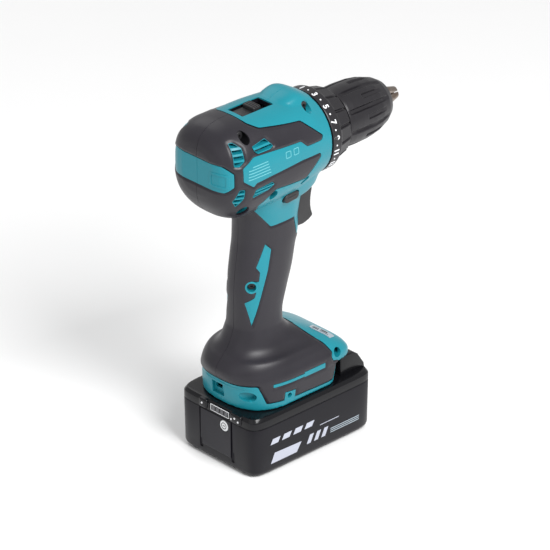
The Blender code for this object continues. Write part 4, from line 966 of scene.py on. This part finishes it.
def make_badge(skin):
    """A thin plate on the slope of the base with a few plain marks."""
    corners = ((-0.002, -0.014), (0.0046, -0.0272), (0.0112, -0.025), (0.0048, -0.0104))
    skin = common(skin, box((-0.01, -0.04, 0.06), (0.02, 0.0, 0.095)))
    under = moved_out(skin, -0.00045)
    badge = minus(common(moved_out(skin, 0.0002), plate([rounded(corners, 0.0006)], 0.06, 0.1)), under)
    piece("badge_plate", badge, BADGE_FINISH, "housing", "base_badge", slot="silver_badge")
    top = moved_out(skin, 0.0003)
    base = moved_out(skin, 0.00005)
    along = (Vector(corners[1]) - Vector(corners[0])).normalized()
    out = Vector((-along.y, along.x))
    bars = []
    for start, length, lift, width in BADGE_BARS:
        foot = Vector(corners[0]) + along * start + out * lift
        outline = [foot, foot + along * length, foot + along * length + out * width, foot + out * width]
        bars.append(minus(common(top, plate([[tuple(p) for p in outline]], 0.06, 0.1)), base))
    piece("badge_marks", merged(bars), DARK_PRINT_AND_SHADE_FINISH, "housing")


def make_collar(skin):
    """The rim of the housing that shows round the screw hole in the grip."""
    row = SCREWS[4]
    x, z, radius = row[:3]
    skin = common(skin, box((x - 0.012, -0.03, z - 0.012), (x + 0.012, 0.0, z + 0.012)))
    over = moved_out(skin, RUBBER_RISE + 0.0002)
    tube = minus(along_screw(row, 0, 0.02, radius + 0.001, 48),
                 along_screw(row, -0.01, 0.03, radius - 0.0001, 48))
    piece("screw_collar", minus(common(over, tube), moved_out(skin, -0.001)), TEAL_FINISH, "housing")


def make_side_label(skin):
    """Plain pale bars on the side panel, where a label would be printed."""
    skin = common(skin, box((-0.08, -0.045, 0.218), (-0.024, -0.02, 0.238)))
    over = moved_out(skin, 0.0001 - TEAL_DROP)
    under = moved_out(skin, -TEAL_DROP - 0.0003)
    lines = [(-0.0745 + 0.0002 * i, -0.0548 - 0.0006 * i, 0.2236 + 0.0021 * i) for i in range(4)]
    lines.insert(0, (-0.0705, -0.057, 0.2318))
    shapes = [plate([oblong(x0, x1, z, z + 0.0006)], -0.05, -0.015, "Y") for x0, x1, z in lines]
    for x in (-0.0412, -0.034):
        outer = rounded(oblong(x, x + 0.0048, 0.2284, 0.2332), 0.001)
        shapes.append(minus(plate([outer], -0.05, -0.015, "Y"),
                            plate([grown(outer, -0.0005)], -0.06, -0.01, "Y")))
    piece("side_label", minus(common(over, merged(shapes)), under), DIM_TEAL_FINISH, "housing")


# Springs: name, body pushed, ends along X, height, radius, radius of the wire, turns.
SPRINGS = (
    ("clutch", "adjusting_nut", -0.0004, 0.0067, AXIS_Z, 0.0184, 0.0007, 3),
    ("trigger", "trigger", -0.0229, -0.0164, 0.1725, 0.003, 0.0005, 4),
)


def helix(start, end, height, radius, wire, turns):
    """Round wire coiled about a line along X."""
    curve = bpy.data.curves.new("helix", "CURVE")
    curve.dimensions, curve.bevel_depth, curve.bevel_resolution, curve.use_fill_caps = "3D", wire, 3, True
    spline = curve.splines.new("POLY")
    per_turn = 48
    count = turns * per_turn
    spline.points.add(count)
    for index, point in enumerate(spline.points):
        turn = math.tau * index / per_turn
        x = start + wire + (end - start - 2 * wire) * index / count
        point.co = (x, radius * math.cos(turn), height + radius * math.sin(turn), 1)
    return applied(linked("helix", curve))


def make_springs():
    """Coiled springs between the housing and what they push on."""
    for name, body, start, end, height, radius, wire, turns in SPRINGS:
        mesh = helix(start, end, height, radius, wire, turns)
        coil = piece(f"{name}_coil", mesh, STEEL_FINISH, None, f"{name}_spring", slot="steel")
        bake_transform(coil)


def make_screws():
    """Screw heads at the bottom of the holes; the frame leaves them out, so they are only shown."""
    heads = []
    for row in SCREWS:
        seat, out = screw_axis(row)
        head = softened(along_screw(row, -0.0006, 0.0008, row[2] - 0.0007), 0.0003, 60)
        place = Matrix.Translation(seat - out * 0.0002) @ Matrix.Rotation(math.radians(-row[4]), 4, "Z")
        place = place @ Matrix.Rotation(math.pi / 2, 4, "X")
        star = []
        for third in range(3):
            star.append(block(-0.0011, 0.0011, 0.0004, 0, 0.003))
            star[-1].transform(place @ Matrix.Rotation(math.pi * third / 3, 4, "Z"))
        heads.append(minus(head, *star))
    piece("housing_screws", merged(heads), KEY_FINISH, "housing")


# ---------------------------------------------------------------- battery

REAR, FRONT, HALF = -0.075, 0.0365, 0.0375
SEAM, TOP, GAP = 0.0365, 0.0447, 0.0003


def case_rows(*rows):
    """Level sections of the battery from height and insets behind, in front and at the sides."""
    return [(z, REAR + rear, FRONT - front, HALF - side, 11.0, 12.0) for z, rear, front, side in rows]


LOW_ROWS = case_rows(
    (SEAM, 0.0002, 0.0002, 0.0002), (SEAM - 0.0004, 0, 0, 0), (0.004, 0.0006, 0.0004, 0.0004),
    (0.0022, 0.0012, 0.0009, 0.0009), (0.001, 0.0024, 0.002, 0.002),
    (0.0002, 0.004, 0.0035, 0.0035), (0.0, 0.0045, 0.004, 0.004),
)
LID_ROWS = case_rows(
    (TOP, 0.0027, 0.0025, 0.0027), (TOP - 0.0003, 0.0016, 0.0014, 0.0015),
    (TOP - 0.0022, 0.0003, 0.0002, 0.0003), (TOP - 0.003, 0, 0, 0),
    (SEAM + GAP + 0.0003, 0, 0, 0), (SEAM + GAP, 0.0003, 0.0003, 0.0003),
)
FRONT_BLOCK = tenths(((125, 420), (357, 420), (350, 470), (290, 560), (240, 592), (125, 592)))
POSTS = ((-0.0695, 0.024), (-0.0695, -0.024), (0.0313, 0.024), (0.0313, -0.024))
BUTTON = (-0.0077, 0.0311)


def make_lower_case():
    outside = level(LOW_ROWS, 0, 240, 1)
    panel = box((REAR - 0.0002, -0.015, 0.009), (REAR + 0.002, 0.0158, SEAM - 0.0002), 0.0004)
    inner = level([(z, REAR, FRONT, HALF, 9.0, 9.0) for z in (SEAM + 0.01, 0.0022)], 0.0022, 48, 1)
    posts = [rod((x, y, 0.0008), (x, y, 0.036), 0.0033, sides=24) for x, y in POSTS]
    holes = [union(rod((x, y, -0.001), (x, y, 0.003), 0.0028, sides=24),
                   rod((x, y, 0.002), (x, y, 0.03), 0.0016, sides=16)) for x, y in POSTS]
    grooves = [softened(box((REAR - 0.001, y - 0.0007, 0.008), (REAR + 0.0012, y + 0.0007, 0.04)), 0.0003)
               for y in (-0.015, 0.016)]
    notches = [softened(box((REAR - 0.001, y - 0.0014, 0.0058), (REAR + 0.0016, y + 0.0014, 0.0132)),
                        0.0006) for y in (-0.0158, 0.015)]
    y, z = BUTTON
    button_hole = rod((REAR - 0.01, y, z), (REAR + 0.01, y, z), 0.0043, sides=48)
    case = minus(union(minus(union(outside, panel), inner), *posts), *holes, *grooves, *notches,
                 button_hole)
    piece("battery_tub", case, BLACK_FINISH, "battery", "battery_lower_case", slot="black_plastic")


def make_lid():
    lid = level(LID_ROWS, 0, 240, 1)
    tower = block(-0.05, 0.014, 0.024, 0.043, 0.056, 0.001)
    flange = block(-0.046, 0.01, 0.028, 0.0512, 0.0554, 0.0005)
    front = softened(through(FRONT_BLOCK, 0.03), 0.001)
    lugs = [softened(box((REAR - 0.0013, low, 0.0372), (REAR + 0.008, high, 0.0444)), 0.0016, 40, 4)
            for low, high in ((0.0085, 0.0165), (-0.0248, -0.0138))]
    shell = union(lid, tower, flange, front, *lugs)
    hollow = union(block(-0.066, 0.03, 0.0332, 0.03, 0.0388), block(-0.066, 0.0256, 0.0332, 0.038, 0.0424))
    contact_well = block(-0.0484, -0.0266, 0.0154, 0.042, 0.0458)
    slots = [box((-0.07, y - 0.0016, 0.045), (-0.026, y + 0.0016, 0.06)) for y in (-0.012, 0.012)]
    window = box((-0.08, -0.0128, 0.0375), (-0.0738, 0.0062, 0.0436), 0.0003)
    button_well = block(0.0262, 0.05, 0.0165, 0.0395, 0.07)
    tongue_well = block(0.0198, 0.028, 0.0106, 0.044, 0.07)
    piece("battery_lid", minus(shell, hollow, contact_well, *slots, window, button_well, tongue_well),
          GLOSS_FINISH, "battery", "battery_upper_case", slot="black_plastic")


def frame_marks(x, y0, y1, z0, z1, line):
    """A thin rectangular border with four bars inside, on the rear face."""
    def mark(y_low, y_high, z_low, z_high, bevel=0.0):
        return box((x, y_low, z_low), (x + 0.0002, y_high, z_high), bevel)

    border = [mark(y0, y1, z0, z0 + line), mark(y0, y1, z1 - line, z1),
              mark(y0, y0 + line, z0 + line, z1 - line), mark(y1 - line, y1, z0 + line, z1 - line)]
    pitch = (y1 - y0 - 4 * line) / 4
    starts = [y0 + 2 * line + pitch * (index + 0.18) for index in range(4)]
    bars = [mark(y, y + pitch * 0.62, z0 + 2.2 * line, z1 - 2.2 * line, 0.00005) for y in starts]
    return border, bars


def make_gauge():
    y, z = BUTTON
    face = softened(box((-0.0748, -0.0125, 0.0378), (-0.0741, 0.0059, 0.0433)), 0.0002)
    piece("gauge_face", face, GLOSS_FINISH, "battery", "gauge_window", slot="lens")
    border, bars = frame_marks(-0.075, -0.0122, 0.0056, 0.0381, 0.043, 0.00038)
    piece("gauge_border", merged(border), WHITE_PRINT_AND_GLINT_FINISH, "battery")
    piece("gauge_bars", merged(bars), DIM_FINISH, "battery")
    cap = softened(rod((-0.0752, y, z), (-0.069, y, z), 0.004, sides=64), 0.0005, 60)
    piece("gauge_key", cap, BUTTON_FINISH, "gauge_button", "gauge_button", slot="grey_plastic")
    ring = minus(rod((-0.07528, y, z), (-0.075, y, z), 0.0025),
                 rod((-0.076, y, z), (-0.074, y, z), 0.002, sides=32))
    dash = box((-0.07528, y - 0.001, z - 0.0003), (-0.075, y + 0.001, z + 0.0003))
    piece("gauge_key_mark", merged([ring, dash]), KEY_FINISH, "gauge_button")
    # White dots on the rear lugs: painted glints where the lugs' rounded faces catch the light.
    painted_glints = [rod((REAR - 0.0015, y, z), (REAR - 0.0011, y, z), 0.0007, sides=24) for y, z in
            ((0.0128, 0.0412), (-0.016, 0.0402), (-0.0193, 0.0418), (-0.0226, 0.0402))]
    piece("battery_painted_glints", merged(painted_glints), WHITE_PRINT_AND_GLINT_FINISH, "battery")


def side_mark(outline):
    """A thin printed shape on the right side of the battery, following its surface."""
    over = level(LOW_ROWS, -0.00008, 240, 1)
    under = level(LOW_ROWS, 0.0002, 240, 1)
    return minus(common(over, plate([outline], -0.045, -0.03, "Y")), under)


def make_side_print():
    panel = [(-0.0594, 0.0075), (-0.0355, 0.0075), (-0.0312, 0.0142), (-0.056, 0.015)]
    marks = [side_mark(panel), side_mark(oblong(-0.014, 0.0036, 0.0198, 0.0203, 0.0004))]
    for x0, x1 in ((-0.06, -0.053), (-0.0495, -0.0425), (-0.039, -0.032), (-0.0285, -0.0215)):
        marks.append(side_mark(oblong(x0, x1, 0.0222, 0.0262, 0.0022)))
    for index in range(3):
        x0 = -0.0262 + index * 0.0068
        marks.append(side_mark(oblong(x0, x0 + 0.0036, 0.0098, 0.0162, 0.003)))
    piece("battery_print", merged(marks), PALE_FINISH, "battery")
    lines = [side_mark(oblong(-0.004, 0.023, z, z + 0.0006, 0.0003)) for z in (0.0102, 0.0116, 0.013)]
    piece("battery_lines", merged(lines), BADGE_FINISH, "battery")


RELEASE_PAD = tenths(((268, 446), (346, 446), (342, 470), (285, 556), (268, 556)))


def make_release():
    pad = through(RELEASE_PAD, 0.016)
    tongue = softened(block(0.0203, 0.0275, 0.01, 0.052, 0.0612), 0.0005)
    pad = softened(pad, 0.0008)
    turn = Matrix.Translation((0.0316, 0, 0.0512)) @ Matrix.Rotation(math.radians(-33.5), 4, "Y")
    ridges = []
    for offset in (-0.0026, -0.0008, 0.001, 0.0028):
        ridge = block(-0.0008, 0.0012, 0.012, offset - 0.0004, offset + 0.0004)
        ridge.transform(turn)
        ridges.append(ridge)
    piece("release_key", union(minus(pad, *ridges), tongue), KEY_FINISH, "release_button", "release_button",
          slot="grey_plastic")


def dress_frame():
    """Better finishes on the frame's own nodes, by slot."""
    finishes = {"teal_plastic": TEAL_FINISH, "dark_rubber": RUBBER_FINISH, "black_plastic": BLACK_FINISH,
                "grey_plastic": KEY_FINISH, "steel": STEEL_FINISH, "dark_steel": DARK_STEEL_FINISH,
                "copper": COPPER_FINISH, "brass": BRASS_FINISH, "board_green": BOARD_FINISH,
                "silver_badge": BADGE_FINISH, "lens": LENS_FINISH, "cell_wrap": WRAP_FINISH}
    for name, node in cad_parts.items():
        for slot in node.material_slots:
            base = slot.material.name.split(".")[0] if slot.material else "grey_plastic"
            finish = CORE_FINISH if name in ("stator_core", "rotor_core") else finishes.get(base)
            if finish:
                slot.material = finish


# ---------------------------------------------------------------- view

def make_camera():
    azimuth, elevation = math.radians(43.6), math.radians(27.8)
    distance, sideways, down = 3.305, 0.014775, 0.094296
    back = Vector((-math.sin(azimuth) * math.cos(elevation), -math.cos(azimuth) * math.cos(elevation),
                   math.sin(elevation)))
    right = Vector((math.cos(azimuth), -math.sin(azimuth), 0))
    up = back.cross(right)
    place = Vector((0, 0, AXIS_Z)) - right * sideways - up * down + back * distance
    data = bpy.data.cameras.new("camera")
    data.sensor_width = 36.0
    data.lens = 325.767
    data.clip_start, data.clip_end = 0.1, 20.0
    camera = linked("camera", data)
    camera.matrix_world = Matrix.Translation(place) @ Matrix((right, up, back)).transposed().to_4x4()
    bpy.context.scene.camera = camera


def area_light(name, place, target, size, energy):
    data = bpy.data.lights.new(name, "AREA")
    data.shape, data.size, data.energy = "SQUARE", size, energy
    turn = (Vector(place) - Vector(target)).to_track_quat("Z", "Y").to_matrix().to_4x4()
    linked(name, data).matrix_world = Matrix.Translation(place) @ turn


def make_studio():
    half, below = 6, 0.0002
    mesh = bpy.data.meshes.new("floor")
    mesh.from_pydata([(-half, -half, 0), (half, -half, 0), (half, half, 0), (-half, half, 0)], [],
                     [(0, 1, 2, 3)])
    floor = linked("floor", mesh)
    pale = Finish("pale_floor")
    cloud = pale.noise(3)
    tint = pale.mix(pale.spread(cloud, 0, 1), (0.93, 0.93, 0.93), (0.95, 0.95, 0.95))
    mesh.materials.append(pale.done(tint, pale.spread(cloud, 0.55, 0.65)))
    floor.location.z = -below
    world = bpy.data.worlds.new("studio")
    world.use_nodes = True
    with_inputs(world.node_tree.nodes["Background"], Color=(1, 1, 1, 1), Strength=0.6)
    bpy.context.scene.world = world
    area_light("key", (-0.15, -1.0, 1.15), (0, 0, 0.15), 0.6, 22)
    area_light("fill", (-1.2, -0.2, 0.7), (0, 0, 0.12), 1.0, 1.5)
    area_light("rim", (0.2, 1.1, 1.2), (0, 0, 0.15), 0.9, 3)
    bpy.context.scene.view_settings.view_transform = "Standard"


dress_frame()
skin = make_housing()
make_screws()
make_torque_ring()
make_chuck()
make_controls()
make_badge(skin)
make_side_label(skin)
make_collar(skin)
make_springs()
make_lower_case()
make_lid()
make_gauge()
make_side_print()
make_release()
make_camera()
make_studio()
